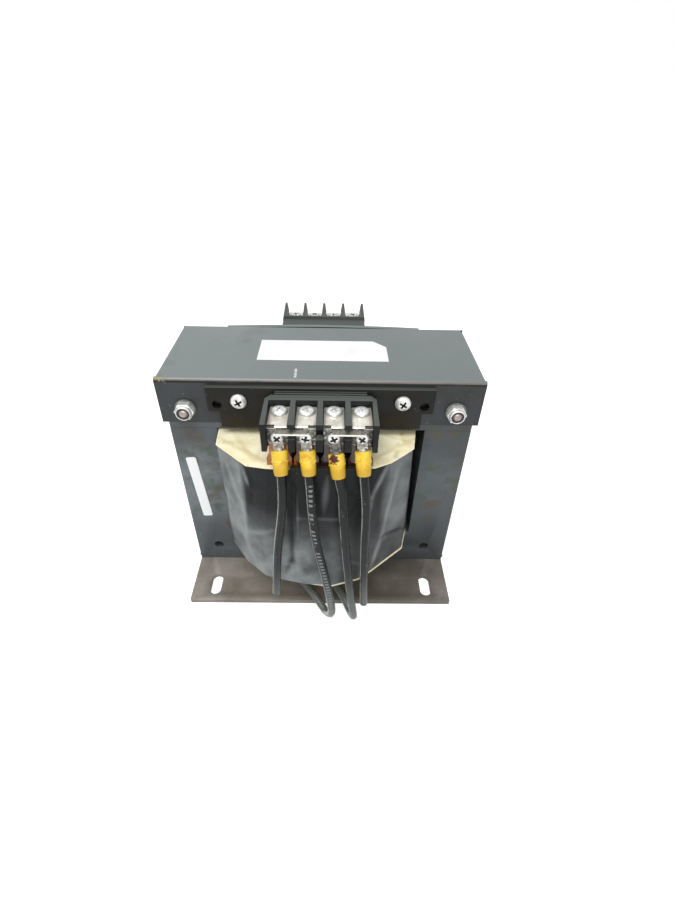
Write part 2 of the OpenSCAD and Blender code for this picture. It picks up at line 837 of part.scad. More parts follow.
module tongue_profile(bend, inner_r, top_z) {
    translate([-(leg_y - bend), 0]) mirror([1, 0]) {
        translate([-(leg_y - bend) + plate_front - 1, top_z - plate_t]) {
            square([leg_y - bend - plate_front + 1 + eps, plate_t]);
        }
        intersection() {
            translate([0, top_z - bend]) difference() {
                circle(r = bend);
                circle(r = inner_r);
            }
            translate([0, top_z - bend]) square([bend, bend]);
        }
        translate([inner_r, -shoulder_drop - 1]) square([plate_t, top_z - bend + shoulder_drop + 1 + eps]);
    }
}

module leg_shape(tongue_x) {
    translate([-plate_w / 2, -leg_low]) square([plate_w, leg_low - shoulder_drop]);
    translate([tongue_x - tongue_plate_w / 2, -shoulder_drop - eps]) square([tongue_plate_w, 0.6]);
}

module front_terminals() {
    color("#dddad2") on_front() for (i = [0:poles - 1]) {
        translate([pole_x(i, front_pitch), 0, 0]) terminal(jumper_side[i]);
    }
}

module front_coil_screws() {
    color("#e2e2de") on_front() for (i = [0:poles - 1]) {
        translate([pole_x(i, front_pitch), coil_screw_y, plate_t - pocket_h]) rotate([0, 0, 20 + 25 * i]) {
            pan_screw(coil_head_d, coil_head_h, coil_screw_d, screw_reach - fit);
        }
    }
}

module front_wire_screws() {
    shank = ring_y - face_y + screw_reach - fit;
    color("#cfcfc9") on_front() for (i = [0:poles - 1]) {
        translate([pole_x(i, front_pitch), ring_y, -wire_screw_drop]) rotate([-90, 30 * i, 0]) {
            pan_screw(wire_head_d, wire_head_h, wire_screw_d, shank);
        }
    }
}

// A link that joins two poles: a shelf over the wire screws, and an eye bent
// down from it behind each ring terminal
module link_eye() {
    eye_low = wire_screw_drop + eye_w / 2;
    difference() {
        translate([-eye_w / 2, leg_y, -eye_low]) cube([eye_w, link_t, eye_low - link_drop]);
        translate([0, 0, -wire_screw_drop]) y_rod(wire_screw_d + fit, leg_y - 1, link_y + 1);
    }
}

module jumper_links() {
    half = front_pitch / 2 + link_over;
    color("#a9a6a0") on_front() for (s = [-1, 1]) translate([s * front_pitch, 0, 0]) {
        translate([-half, leg_y, -link_drop - link_t]) cube([2 * half, link_shelf, link_t]);
        for (e = [-1, 1]) translate([e * front_pitch / 2, 0, 0]) link_eye();
    }
}

// Flat strips that bring the coil's ends up behind the terminals' legs: straight
// inside the block, leaning out to the edge of the coil below it
module strip_side(grow) {
    back = face_y - fit / 2 - strip_t - grow;
    front = face_y - fit / 2 + grow;
    foot = wind_z1 - strip_sink - front_rim_z - grow;
    bend = -front_block_h - strip_straight;
    top = -lead_cut_drop - fit;
    polygon([
        [back, top], [back, bend], [back + strip_lean, foot],
        [front + strip_lean, foot], [front, bend], [front, top]
    ]);
}

module lead_out_strip(grow) {
    foot = wind_z1 - strip_sink - front_rim_z - grow;
    wide = strip_foot_w / 2 + grow;
    intersection() {
        translate([-wide, 0, 0]) rotate([90, 0, 90]) linear_extrude(2 * wide) strip_side(grow);
        translate([0, fin_y, 0]) rotate([90, 0, 0]) linear_extrude(fin_y) polygon([
            [-wide, foot], [wide, foot],
            [wide, foot + strip_foot_h], [strip_w / 2, foot + strip_neck_h],
            [strip_w / 2, 0], [-strip_w / 2, 0],
            [-strip_w / 2, foot + strip_neck_h], [-wide, foot + strip_foot_h]
        ]);
    }
}

module front_lead_outs() {
    color("#b8742a") on_front() for (i = [0:poles - 1]) {
        translate([pole_x(i, front_pitch), 0, 0]) lead_out_strip(0);
    }
}

module rear_strip(grow) {
    top = rear_rim_z - rear_plate_drop - plate_t - fit;
    foot = wind_z1 - 3;
    translate([-rear_strip_w / 2 - grow, rear_end_y - grow, foot - grow]) {
        cube([rear_strip_w + 2 * grow, rear_strip_t + 2 * grow, top - foot + grow]);
    }
}

module rear_lead_outs() {
    color("#b8742a") translate([0, bracket_y, 0]) for (i = [0:poles - 1]) {
        translate([pole_x(i, rear_pitch), 0, 0]) rear_strip(0);
    }
}

// The slots that the lead-outs leave the coil by
module lead_out_slots() {
    on_front() for (i = [0:poles - 1]) translate([pole_x(i, front_pitch), 0, 0]) lead_out_strip(fit);
    translate([0, bracket_y, 0]) for (i = [0:poles - 1]) {
        translate([pole_x(i, rear_pitch), 0, 0]) rear_strip(fit);
    }
}

// ---- Rear terminal block ----

// Side view of one rear barrier: y outwards, z up from the rim
function rear_fin_profile() = [
    [rear_pocket_y - rear_bulkhead_t, -rear_block_h], [rear_end_y, -rear_block_h],
    [rear_end_y, rear_fin_h], [rear_end_y - rear_peak_l, rear_fin_h],
    [rear_end_y - rear_slope_l, rear_fin_h * rear_knee], [rear_pocket_y, rear_bulkhead_h],
    [rear_pocket_y - rear_bulkhead_t, 0]
];

module rear_fin() {
    half = rear_wall / 2;
    tip = rear_tip / 2;
    intersection() {
        translate([half, 0, 0]) rotate([90, 0, -90]) mirror([1, 0, 0]) {
            linear_extrude(rear_wall) polygon(rear_fin_profile());
        }
        translate([0, rear_end_y + 1, 0]) rotate([90, 0, 0]) linear_extrude(rear_end_y + 1) polygon([
            [-half, -rear_block_h], [half, -rear_block_h], [half, 0],
            [tip, rear_fin_h], [-tip, rear_fin_h], [-half, 0]
        ]);
    }
}

module rear_block() {
    floor_h = rear_block_h - rear_plate_drop - plate_t;
    color("#2f3235") on_rear() difference() {
        union() {
            translate([-rear_half, 0, -rear_block_h]) {
                cube([2 * rear_half, rear_pocket_y, rear_block_h]);
                cube([2 * rear_half, rear_end_y, floor_h]);
            }
            translate([-rear_half + rear_inset, rear_pocket_y - rear_bulkhead_t, -eps]) {
                cube([2 * (rear_half - rear_inset), rear_bulkhead_t, rear_bulkhead_h + eps]);
            }
            for (i = [0:poles]) translate([(i - poles / 2) * rear_pitch, 0, 0]) rear_fin();
            translate([0, 0, socket_z - rear_rim_z]) {
                cube([socket_w - 2 * fit, 2 * (bracket_t - fit), socket_h - 2 * fit], center = true);
            }
        }
        for (i = [0:poles - 1]) translate([pole_x(i, rear_pitch), rear_screw_y, -screw_reach - 4]) {
            cylinder(d = rear_screw_d + fit, h = screw_reach + 6);
        }
    }
}

module rear_terminals() {
    z = -rear_plate_drop - plate_t;
    depth = rear_end_y + rear_strip_t - rear_pocket_y - fit;
    color("#dddad2") on_rear() for (i = [0:poles - 1]) translate([pole_x(i, rear_pitch), 0, 0]) difference() {
        translate([-rear_plate_w / 2, rear_pocket_y + fit, z]) cube([rear_plate_w, depth, plate_t]);
        translate([0, rear_screw_y, z - 1]) cylinder(d = rear_screw_d + fit, h = plate_t + 2);
    }
}

module rear_screws() {
    color("#e2e2de") on_rear() for (i = [0:poles - 1]) {
        translate([pole_x(i, rear_pitch), rear_screw_y, -rear_plate_drop]) rotate([0, 0, 35 * i]) {
            pan_screw(rear_head_d, rear_head_h, rear_screw_d, screw_reach + 2);
        }
    }
}

// ---- Ring terminals, sleeves and leads ----

// Places ring terminal i: the screw's centre, turned by its swing
module at_wire_screw(i) {
    x = (i - (poles - 1) / 2) * front_pitch;
    translate([x, -bracket_y - link_y, front_rim_z - wire_screw_drop]) rotate([0, -swing[i], 0]) children();
}

// From the screw down to the bend, and then along the leaning barrel
module along_barrel(i) {
    translate([0, -ring_t / 2, -neck_l[i]]) rotate([-lean, 0, 0]) rotate([180, 0, 0]) children();
}

module ring_terminal(i) {
    color("#c9c6bc") at_wire_screw(i) difference() {
        union() {
            y_rod(ring_d, -ring_t, 0);
            translate([-neck_w / 2, -ring_t, -neck_l[i]]) cube([neck_w, ring_t, neck_l[i]]);
            along_barrel(i) {
                translate([-neck_w / 2, -ring_t / 2, -0.3]) cube([neck_w, ring_t, barrel_start + 1.3]);
                translate([0, 0, barrel_start]) cylinder(d = barrel_d, h = barrel_end - barrel_start);
            }
        }
        y_rod(wire_screw_d + fit, -ring_t - 1, 1);
    }
}

module sleeve(i) {
    flat = sleeve_w - sleeve_crimp_t;
    color("#f2b92c") at_wire_screw(i) along_barrel(i) translate([0, 0, sleeve_start]) difference() {
        union() {
            linear_extrude(crimp_l) rotate(90) slot_shape(sleeve_crimp_t, sleeve_crimp_t + flat);
            translate([0, 0, crimp_l]) {
                cylinder(d1 = mouth_d + 0.8, d2 = mouth_d, h = sleeve_l - crimp_l);
            }
        }
        translate([0, 0, -1]) cylinder(d = barrel_d + fit, h = sleeve_l);
        translate([0, 0, barrel_end - sleeve_start - fit]) cylinder(d = lead_d + 3 * fit, h = sleeve_l);
    }
}

// A point on the axis of barrel i, at distance s along it
function barrel_point(i, s) = let (
        down = neck_l[i] + s * cos(lean),
        out = ring_t / 2 + s * sin(lean)
    ) [
        (i - (poles - 1) / 2) * front_pitch + down * sin(swing[i]),
        -bracket_y - link_y - out,
        front_rim_z - wire_screw_drop - down * cos(swing[i])
    ];
// The whole route of lead i: out of its barrel, through the sleeve, and on
function lead_route(i, rest) =
    concat([barrel_point(i, barrel_end), barrel_point(i, sleeve_start + sleeve_l)], rest);

// A tube swept along a route: one ring of points at each of its points
function unit(v) = v / norm(v);
function heading(route, k) =
    unit(route[min(k + 1, len(route) - 1)] - route[max(k - 1, 0)]);
function across(t) = unit(cross(t, [1, 0, 0]));
function tube_point(p, t, a) =
    let (u = across(t), v = cross(t, u)) p + lead_d / 2 * (cos(a) * u + sin(a) * v);

module lead_tube(route) {
    last = len(route) - 1;
    points = [
        for (k = [0:last], s = [0:lead_sides - 1])
            tube_point(route[k], heading(route, k), 360 * s / lead_sides)
    ];
    walls = [
        for (k = [0:last - 1], s = [0:lead_sides - 1])
            let (n = (s + 1) % lead_sides, a = k * lead_sides, b = a + lead_sides)
            [a + s, b + s, b + n, a + n]
    ];
    start = [for (s = [0:lead_sides - 1]) s];
    end = [for (s = [lead_sides - 1:-1:0]) last * lead_sides + s];
    color("#1f2123") polyhedron(points = points, faces = concat([start, end], walls));
}

// ---- Labels ----

module top_label() {
    w = top_label_w / 2;
    d = top_label_d / 2;
    color("#f4f4f2") translate([top_label_x, top_label_y, cover_top]) linear_extrude(label_t) polygon([
        [-w, -d], [w, -d], [w, d - torn_corner], [w - torn_corner, d], [-w, d]
    ]);
}

module side_label() {
    color("#dfe0e2") translate([side_label_x, -stack_d / 2, side_label_z]) rotate([0, -side_label_tilt, 0]) {
        rotate([90, 0, 0]) linear_extrude(label_t) round_rect(side_label_w, side_label_l, side_label_r);
    }
}

front_foot();
rear_foot();
weld_beads();
e_laminations();
i_laminations();
top_cover();
core_studs();
stud_washers();
lock_nuts();
nut_inserts();
front_bracket();
rear_bracket();
bracket_screws();
coil_tube();
primary_winding();
winding_barrier();
secondary_winding();
coil_wrap();
upper_end_paper();
lower_end_paper();
front_block();
front_terminals();
front_coil_screws();
front_wire_screws();
jumper_links();
front_lead_outs();
rear_block();
rear_terminals();
rear_screws();
rear_lead_outs();
ring_terminal(0);  // ring_terminal_1
ring_terminal(1);  // ring_terminal_2
ring_terminal(2);  // ring_terminal_3
ring_terminal(3);  // ring_terminal_4
sleeve(0);  // sleeve_1
sleeve(1);  // sleeve_2
sleeve(2);  // sleeve_3
sleeve(3);  // sleeve_4
lead_tube(lead_route(0, route_1));  // lead_1
lead_tube(lead_route(1, route_2));  // lead_2
lead_tube(lead_route(2, route_3));  // lead_3
lead_tube(lead_route(3, route_4));  // lead_4
top_label();
side_label();
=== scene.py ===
import bpy
import math
from mathutils import Matrix, Vector, noise


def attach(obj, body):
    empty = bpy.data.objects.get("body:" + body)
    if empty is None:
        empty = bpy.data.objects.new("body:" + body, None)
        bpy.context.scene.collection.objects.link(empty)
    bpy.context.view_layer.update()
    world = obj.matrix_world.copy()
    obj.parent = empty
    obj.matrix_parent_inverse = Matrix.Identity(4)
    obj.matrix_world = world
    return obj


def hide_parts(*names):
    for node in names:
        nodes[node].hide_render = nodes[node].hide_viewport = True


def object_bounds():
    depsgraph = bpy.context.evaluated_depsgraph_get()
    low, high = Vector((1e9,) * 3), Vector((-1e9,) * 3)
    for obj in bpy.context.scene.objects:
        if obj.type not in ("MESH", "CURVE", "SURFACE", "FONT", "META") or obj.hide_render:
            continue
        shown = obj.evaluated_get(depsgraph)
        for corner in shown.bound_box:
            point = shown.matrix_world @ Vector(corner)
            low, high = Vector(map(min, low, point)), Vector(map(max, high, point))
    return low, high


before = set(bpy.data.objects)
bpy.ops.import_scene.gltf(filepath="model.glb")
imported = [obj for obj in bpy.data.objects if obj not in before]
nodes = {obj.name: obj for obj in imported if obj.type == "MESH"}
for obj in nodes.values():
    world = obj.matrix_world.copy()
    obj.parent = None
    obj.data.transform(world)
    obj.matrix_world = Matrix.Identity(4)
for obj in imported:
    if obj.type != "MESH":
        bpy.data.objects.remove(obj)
cadLow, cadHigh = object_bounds()
mm = 0.001
print("frame loaded:", len(nodes), "nodes")

# The camera stands in front of the transformer and looks down at it
cameraView = {
    "place": (5.43, -253.29, 278.35),  # mm
    "tiltDown": 38.43,                 # degrees, as the next two are
    "yaw": 1.056,
    "roll": 1.343,
    "lens": 19.19,                     # mm, as the sensor's width is
    "sensor": 36,
}


def makeCamera(view):
    tilt, yaw, roll = (math.radians(view[k]) for k in ("tiltDown", "yaw", "roll"))
    ahead = Vector((math.sin(yaw) * math.cos(tilt), math.cos(yaw) * math.cos(tilt), -math.sin(tilt)))
    right = Vector((math.cos(yaw), -math.sin(yaw), 0))
    up = right.cross(ahead)
    turnedRight = right * math.cos(roll) + up * math.sin(roll)
    turnedUp = up * math.cos(roll) - right * math.sin(roll)
    bpy.ops.object.camera_add()
    camera = bpy.context.object
    camera.name = "camera"
    camera.data.lens = view["lens"]
    camera.data.sensor_width = view["sensor"]
    turn = Matrix((turnedRight, turnedUp, -ahead)).transposed()
    camera.matrix_world = Matrix.Translation(Vector(view["place"]) * mm) @ turn.to_4x4()
    bpy.context.scene.camera = camera


makeCamera(cameraView)


# Small tools
def objectMode():
    bpy.ops.object.mode_set(mode="OBJECT")


def clearSelection():
    if bpy.context.object and bpy.context.object.mode != "OBJECT":
        objectMode()
    bpy.ops.object.select_all(action="DESELECT")


def pick(obj):
    clearSelection()
    obj.select_set(True)
    bpy.context.view_layer.objects.active = obj


def editAll(obj):
    pick(obj)
    bpy.ops.object.mode_set(mode="EDIT")
    bpy.ops.mesh.select_mode(type="VERT")
    bpy.ops.mesh.select_all(action="SELECT")


def selectParts(obj, kind, test):
    # leaves edit mode on, with the edges or the faces picked that pass the test
    editAll(obj)
    bpy.ops.mesh.select_all(action="DESELECT")
    bpy.ops.mesh.select_mode(type=kind)
    objectMode()
    for part in obj.data.edges if kind == "EDGE" else obj.data.polygons:
        part.select = bool(test(part))
    bpy.ops.object.mode_set(mode="EDIT")


def selectRims():
    # in edit mode: picks the open rims of a shell
    bpy.ops.mesh.select_all(action="DESELECT")
    bpy.ops.mesh.select_non_manifold()


def facesOut(obj):
    editAll(obj)
    bpy.ops.mesh.normals_make_consistent(inside=False)
    objectMode()


def smoothUnder(obj, degrees):
    # smooth shading, with the edges left crisp that are sharper than this
    pick(obj)
    bpy.ops.object.shade_smooth_by_angle(angle=math.radians(degrees))


def applyModifier(obj, kind, **settings):
    pick(obj)
    modifier = obj.modifiers.new(kind.title(), kind)
    for key, value in settings.items():
        setattr(modifier, key, value)
    bpy.ops.object.modifier_apply(modifier=modifier.name)


def softEdges(obj, width, segments, sharperThan=30, smoothUpTo=35):
    # rounds the edges, as a mould, a brake or a deburring wheel leaves them
    applyModifier(obj, "BEVEL", width=width * mm, segments=segments, limit_method="ANGLE",
                  angle_limit=math.radians(sharperThan), use_clamp_overlap=True)
    smoothUnder(obj, smoothUpTo)


def place(obj, matrix):
    # moves a piece by its mesh, so that its object stays at the origin
    obj.data.transform(matrix)
    obj.data.update()


def newObject(name, data):
    obj = bpy.data.objects.new(name, data)
    bpy.context.scene.collection.objects.link(obj)
    return obj


def pieceName(node):
    # front_block becomes frontBlock
    words = node.split("_")
    return words[0] + "".join(word.title() for word in words[1:])


def seat(obj, node, material=None):
    # the piece stands for a node of the frame, and rides where that node rides
    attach(obj, "root")
    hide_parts(node)
    if material:
        obj.data.materials.clear()
        obj.data.materials.append(material)
    return obj


def turned(name, rings, sides, smoothUpTo=40):
    # a round piece along Z, drawn up ring by ring: (height, half width, half depth) in mm
    clearSelection()
    height, wide, deep = rings[0]
    bpy.ops.mesh.primitive_circle_add(vertices=sides, radius=mm, fill_type="NOTHING")
    obj = bpy.context.object
    obj.name = name
    editAll(obj)
    bpy.ops.transform.resize(value=(wide, deep, 1), center_override=(0, 0, 0))
    bpy.ops.transform.translate(value=(0, 0, height * mm))
    for z, w, d in rings[1:]:
        bpy.ops.mesh.extrude_region_move(TRANSFORM_OT_translate={"value": (0, 0, (z - height) * mm)})
        bpy.ops.transform.resize(value=(w / wide, d / deep, 1), center_override=(0, 0, z * mm))
        height, wide, deep = z, w, d
    selectRims()
    bpy.ops.mesh.fill_holes(sides=0)
    facesOut(obj)
    smoothUnder(obj, smoothUpTo)
    return obj


frameMesh = {"mergeWithin": 0.004, "flatWithin": 1.0}  # mm, degrees


def softCopy(node, width, segments, shape=None):
    # a merged copy of a node, with its small flats joined and its edges softened
    obj = newObject(pieceName(node), nodes[node].data.copy())
    obj.data.materials.clear()
    editAll(obj)
    bpy.ops.mesh.customdata_custom_splitnormals_clear()
    bpy.ops.mesh.remove_doubles(threshold=frameMesh["mergeWithin"] * mm)
    bpy.ops.mesh.dissolve_limited(angle_limit=math.radians(frameMesh["flatWithin"]))
    objectMode()
    if shape:
        shape(obj)
    softEdges(obj, width, segments)
    return obj


# Ring terminals' places, and the cut lengths of stranded wire that hang from them
terminals = {
    "pitch": 14, "screwY": -63.525, "screwZ": 135.6,
    "swing": (4.5, 5, 7.5, 5),      # degrees to the side
    "neck": (5, 5, 6.9, 4.8),       # mm from the screw down to the bend
    "lean": 23.5, "ringThick": 0.8, "edge": 0.12,
    "sleeveStart": 2.5, "barrelEnd": 9.5, "sleeveMouth": 15.4,  # mm down along the barrel
}
leads = {
    "diameter": 4.8, "strandDiameter": 3.0, "strandsProud": 0.35,
    "steps": 36, "roundness": 6, "smooth": 50,
    # from the sleeve's mouth to the cut end
    "routes": (
        ((-19.2, -73, 108.5), (-19.4, -75.6, 99.5), (-20.5, -77.2, 89.5), (-22, -77.8, 79),
         (-23.3, -78, 68), (-24.3, -78, 57), (-25.1, -77.9, 46.5), (-25.9, -77.8, 36),
         (-26.5, -77.8, 27.8)),
        ((-4.6, -73.2, 108.2), (-4, -76.2, 99.5), (-3.1, -78.6, 89.5), (-1.9, -80.2, 78.5),
         (-0.2, -81.2, 68), (1.8, -81.8, 57.5), (3.6, -82.2, 46.5), (5.2, -82.4, 35.5),
         (6.6, -82.4, 24.5), (7.3, -81.7, 14.5), (6.2, -78.6, 6.8), (3, -73.8, 2.9),
         (-1.4, -68.4, 5.9), (-6, -62.8, 7.4), (-11, -56.6, 8), (-15.6, -49.8, 8.6)),
        ((11.9, -73.2, 106), (12.3, -76.2, 97.5), (13.2, -78.6, 87), (14.1, -80, 76),
         (15, -80.8, 65.5), (16, -81.4, 55), (17, -81.8, 44.5), (18.1, -82.2, 34),
         (19.3, -82.6, 23.5), (20.6, -82.7, 13.8), (21, -79.8, 6.2), (19.4, -74.6, 2.9),
         (16.2, -68.4, 5.8), (12.6, -62.4, 7.4), (8.4, -56, 8), (4.6, -49.4, 8.6)),
        ((23.6, -73.2, 108), (24.4, -76, 98.5), (24.7, -77.8, 88), (24.8, -78.7, 77),
         (25.1, -79.2, 66), (25.5, -79.5, 55), (25.9, -79.7, 43), (26.4, -79.8, 31),
         (26.9, -79.8, 20.4)),
    ),
}


def terminalTurn(i):
    # from the terminal's own place, with the screw at its centre, to the shared frame
    x = (i - 1.5) * terminals["pitch"] * mm
    centre = Vector((x, terminals["screwY"] * mm, terminals["screwZ"] * mm))
    return Matrix.Translation(centre) @ Matrix.Rotation(math.radians(-terminals["swing"][i]), 4, "Y")


def barrelTurn(i):
    # Z runs down along the barrel from the terminal's bend
    down = Matrix.Translation((0, -terminals["ringThick"] / 2 * mm, -terminals["neck"][i] * mm))
    lean = Matrix.Rotation(math.radians(-terminals["lean"]), 4, "X")
    return terminalTurn(i) @ down @ lean @ Matrix.Rotation(math.pi, 4, "X")


def smoothLine(points, steps, perSpan=20):
    # even points on a smooth curve through the given ones
    ends = [points[0] * 2 - points[1]] + list(points) + [points[-1] * 2 - points[-2]]
    fine = []
    for k in range(1, len(ends) - 2):
        a, b, c, d = ends[k - 1:k + 3]
        for s in range(perSpan):
            t = s / perSpan
            fine.append((b * 2 + (c - a) * t + (a * 2 - b * 5 + c * 4 - d) * t ** 2
                         + (b * 3 - a - c * 3 + d) * t ** 3) / 2)
    fine.append(points[-1])
    reach = [0]
    for p, q in zip(fine, fine[1:]):
        reach.append(reach[-1] + (q - p).length)
    even, k = [], 0
    for s in range(steps):
        goal = reach[-1] * s / (steps - 1)
        while k < len(fine) - 2 and reach[k + 1] < goal:
            k += 1
        t = (goal - reach[k]) / (reach[k + 1] - reach[k])
        even.append(fine[k].lerp(fine[k + 1], t))
    return even


def leadLine(i):
    turn = barrelTurn(i)
    inSleeve = [turn @ Vector((0, 0, terminals[end] * mm)) for end in ("barrelEnd", "sleeveMouth")]
    return smoothLine(inSleeve + [Vector(p) * mm for p in leads["routes"][i]], leads["steps"])


def makeLead(i):
    line = leadLine(i)
    name = f"lead{i + 1}"
    curve = bpy.data.curves.new(name, "CURVE")
    curve.dimensions = "3D"
    curve.bevel_depth = leads["diameter"] / 2 * mm
    curve.bevel_resolution = leads["roundness"]
    curve.use_fill_caps = True
    spline = curve.splines.new("POLY")
    spline.points.add(len(line) - 1)
    for point, at in zip(spline.points, line):
        point.co = (*at, 1)
    pick(newObject(name, curve))
    bpy.ops.object.convert(target="MESH")
    obj = bpy.context.object
    obj.data.materials.clear()
    facesOut(obj)
    # the cut end's cap has many corners: insulation round the bare strands, which stand a little proud
    selectParts(obj, "FACE", lambda face: len(face.vertices) > 4
                and (face.center - line[-1]).length < leads["diameter"] / 2 * mm)
    bpy.ops.mesh.inset(thickness=(leads["diameter"] - leads["strandDiameter"]) / 2 * mm)
    bpy.ops.mesh.extrude_region_move(TRANSFORM_OT_translate={
        "value": (line[-1] - line[-2]).normalized() * leads["strandsProud"] * mm})
    obj.data.materials.append(None)
    obj.data.materials.append(None)
    obj.active_material_index = 1
    bpy.ops.object.material_slot_assign()
    objectMode()
    smoothUnder(obj, leads["smooth"])
    return obj, line


leadPieces = [makeLead(i) for i in range(4)]
print("leads made")


# Materials
def colour(text):
    # sRGB hex to the linear values that shaders take
    parts = [int(text[i:i + 2], 16) / 255 for i in (0, 2, 4)]
    return tuple(c / 12.92 if c <= 0.04045 else ((c + 0.055) / 1.055) ** 2.4 for c in parts) + (1,)


def addNode(tree, kind, inputs=None, out=0, **settings):
    # adds a node with its settings and links, and gives one of its outputs, or all for None
    node = tree.nodes.new("ShaderNode" + kind)
    for key, value in settings.items():
        if key == "stops":
            ramp = node.color_ramp
            while len(ramp.elements) < len(value):
                ramp.elements.new(0.5)
            for element, (at, tone) in zip(ramp.elements, value):
                element.position = at
                element.color = tone
        else:
            setattr(node, key, value)
    for key, value in (inputs or {}).items():
        if isinstance(value, bpy.types.NodeSocket):
            tree.links.new(value, node.inputs[key])
        else:
            node.inputs[key].default_value = value
    return node.outputs if out is None else node.outputs[out]


white = (1, 1, 1, 1)
black = (0, 0, 0, 1)
noiseLow, noiseHigh = 0.3, 0.7  # most of a noise's values lie between these
speckEdge = 0.04                # how far the noise rises across the edge of a speck
grainRelief = 0.15              # height of the grain as a share of its size


def newMaterial(name, look):
    # a surface with blotches, specks and grain over its colour; sizes are in mm
    material = bpy.data.materials.new(name)
    material.use_nodes = True
    tree = material.node_tree
    surface = tree.nodes["Principled BSDF"]
    surface.inputs["Metallic"].default_value = look.get("metallic", 0)
    surface.inputs["IOR"].default_value = look.get("ior", 1.5)
    if "coat" in look:
        surface.inputs["Coat Weight"].default_value = look["coat"]
        surface.inputs["Coat Roughness"].default_value = look["coatRoughness"]
    where = addNode(tree, "TexCoord", out="Object")
    stretched = addNode(tree, "Mapping", {"Vector": where, "Scale": look.get("stretch", (1, 1, 1))})
    blotch = addNode(tree, "TexNoise", {"Vector": stretched, "Scale": 1000 / look["blotchSize"],
                                        "Detail": 5.0, "Roughness": 0.6})
    patch = addNode(tree, "ValToRGB", {0: blotch},
                    stops=look.get("blotchStops", ((0.38, black), (0.66, white))))
    tone = addNode(tree, "Mix", {0: patch, 6: colour(look["base"]), 7: colour(look["blotch"])}, 2,
                   data_type="RGBA")
    if "speck" in look:
        dots = addNode(tree, "TexNoise", {"Vector": where, "Scale": 1000 / look["speckSize"],
                                          "Detail": 2.0})
        start = look["speckFrom"]
        sparse = addNode(tree, "ValToRGB", {0: dots}, stops=((start, black), (start + speckEdge, white)))
        tone = addNode(tree, "Mix", {0: sparse, 6: tone, 7: colour(look["speck"])}, 2, data_type="RGBA")
    smooth, rough = look["roughness"]
    uneven = addNode(tree, "MapRange", {0: blotch, 1: noiseLow, 2: noiseHigh, 3: smooth, 4: rough})
    grain = addNode(tree, "TexNoise", {"Vector": stretched, "Scale": 1000 / look["grainSize"],
                                       "Detail": 3.0})
    bump = addNode(tree, "Bump", {"Height": grain, "Strength": look.get("grainStrength", 0.3),
                                  "Distance": look["grainSize"] * grainRelief * mm})
    for socket, value in (("Base Color", tone), ("Roughness", uneven), ("Normal", bump)):
        tree.links.new(value, surface.inputs[socket])
    return material


def times(tree, *masks):
    result = masks[0]
    for mask in masks[1:]:
        result = addNode(tree, "Math", {0: result, 1: mask}, operation="MULTIPLY")
    return result


def spread(start, full, least=0.0, most=1.0, unit=mm):
    # inputs of a Map Range: from the least at the start to the most where it is full
    return {1: start * unit, 2: full * unit, 3: least, 4: most}


def between(tree, value, low, high, soft, unit=mm):
    # 1 where the value lies from low to high, falling to 0 over the soft margin
    rise = addNode(tree, "MapRange", {0: value, **spread(low - soft, low, unit=unit)})
    fall = addNode(tree, "MapRange", {0: value, **spread(high, high + soft, 1.0, 0.0, unit)})
    return times(tree, rise, fall)


def axes(tree):
    return addNode(tree, "SeparateXYZ", {0: addNode(tree, "TexCoord", out="Object")}, None)


def facing(tree):
    # how far the surface looks along x, y and z
    return addNode(tree, "SeparateXYZ", {0: addNode(tree, "NewGeometry", out="Normal")}, None)


def ragged(tree, size, low, high, least=0.0):
    # uneven patches about this many mm across, from low to high in the noise, over a least cover
    patches = addNode(tree, "TexNoise", {"Vector": addNode(tree, "TexCoord", out="Object"),
                                         "Scale": 1000 / size, "Detail": 4.0})
    mask = addNode(tree, "MapRange", {0: patches, 1: low, 2: high})
    if least:
        mask = addNode(tree, "Math", {0: mask, 1: least}, operation="ADD", use_clamp=True)
    return mask


def paintOver(material, hexTone, mask):
    # lays another colour over a material's own, where the mask is 1
    tree = material.node_tree
    socket = tree.nodes["Principled BSDF"].inputs["Base Color"]
    tree.links.new(addNode(tree, "Mix", {0: mask, 6: socket.links[0].from_socket, 7: colour(hexTone)}, 2,
                           data_type="RGBA"), socket)


def mark(material, hexTone, up=None, patches=None, share=None, smooth=False, **spans):
    # lays a colour where all that is given holds: faces that look up, ragged patches, and spans of x, y or z
    # in mm, each a band (low, high, soft margin) or a fade (start, full, least, most)
    tree = material.node_tree
    where = dict(zip("xyz", axes(tree)))
    masks = []
    if up:
        masks.append(addNode(tree, "MapRange", {0: facing(tree)[2], 1: up, 2: 0.95}))
    for axis, span in spans.items():
        if len(span) == 3:
            masks.append(between(tree, where[axis], *span))
        else:
            masks.append(addNode(tree, "MapRange", {0: where[axis], **spread(*span)},
                                 interpolation_type="SMOOTHSTEP" if smooth else "LINEAR"))
    if patches:
        masks.append(ragged(tree, *patches))
    if share:
        masks.append(share)
    paintOver(material, hexTone, times(tree, *masks))


def paintCreases(material, tones, share):
    # tones: (fold height where the colour starts, where it is full, colour)
    tree = material.node_tree
    crease = addNode(tree, "Attribute", out="Fac", attribute_name="crease")
    for start, full, hexTone in tones:
        paintOver(material, hexTone, addNode(tree, "MapRange", {0: crease, 1: start, 2: full, 4: share}))


# Varnish-dipped sheet steel: a thin brown-black resin over blued steel, satin where it drained,
# greyer on top with dust and painted light, and rubbed to bare brown at the front bend
coverSteel = newMaterial("varnishedSheetSteel", {
    "base": "33383B", "blotch": "2C2B2A", "blotchSize": 34, "roughness": (0.36, 0.5),
    "grainSize": 0.9, "grainStrength": 0.25, "metallic": 0.3, "speck": "5C5D57", "speckSize": 2.2,
    "speckFrom": 0.7})
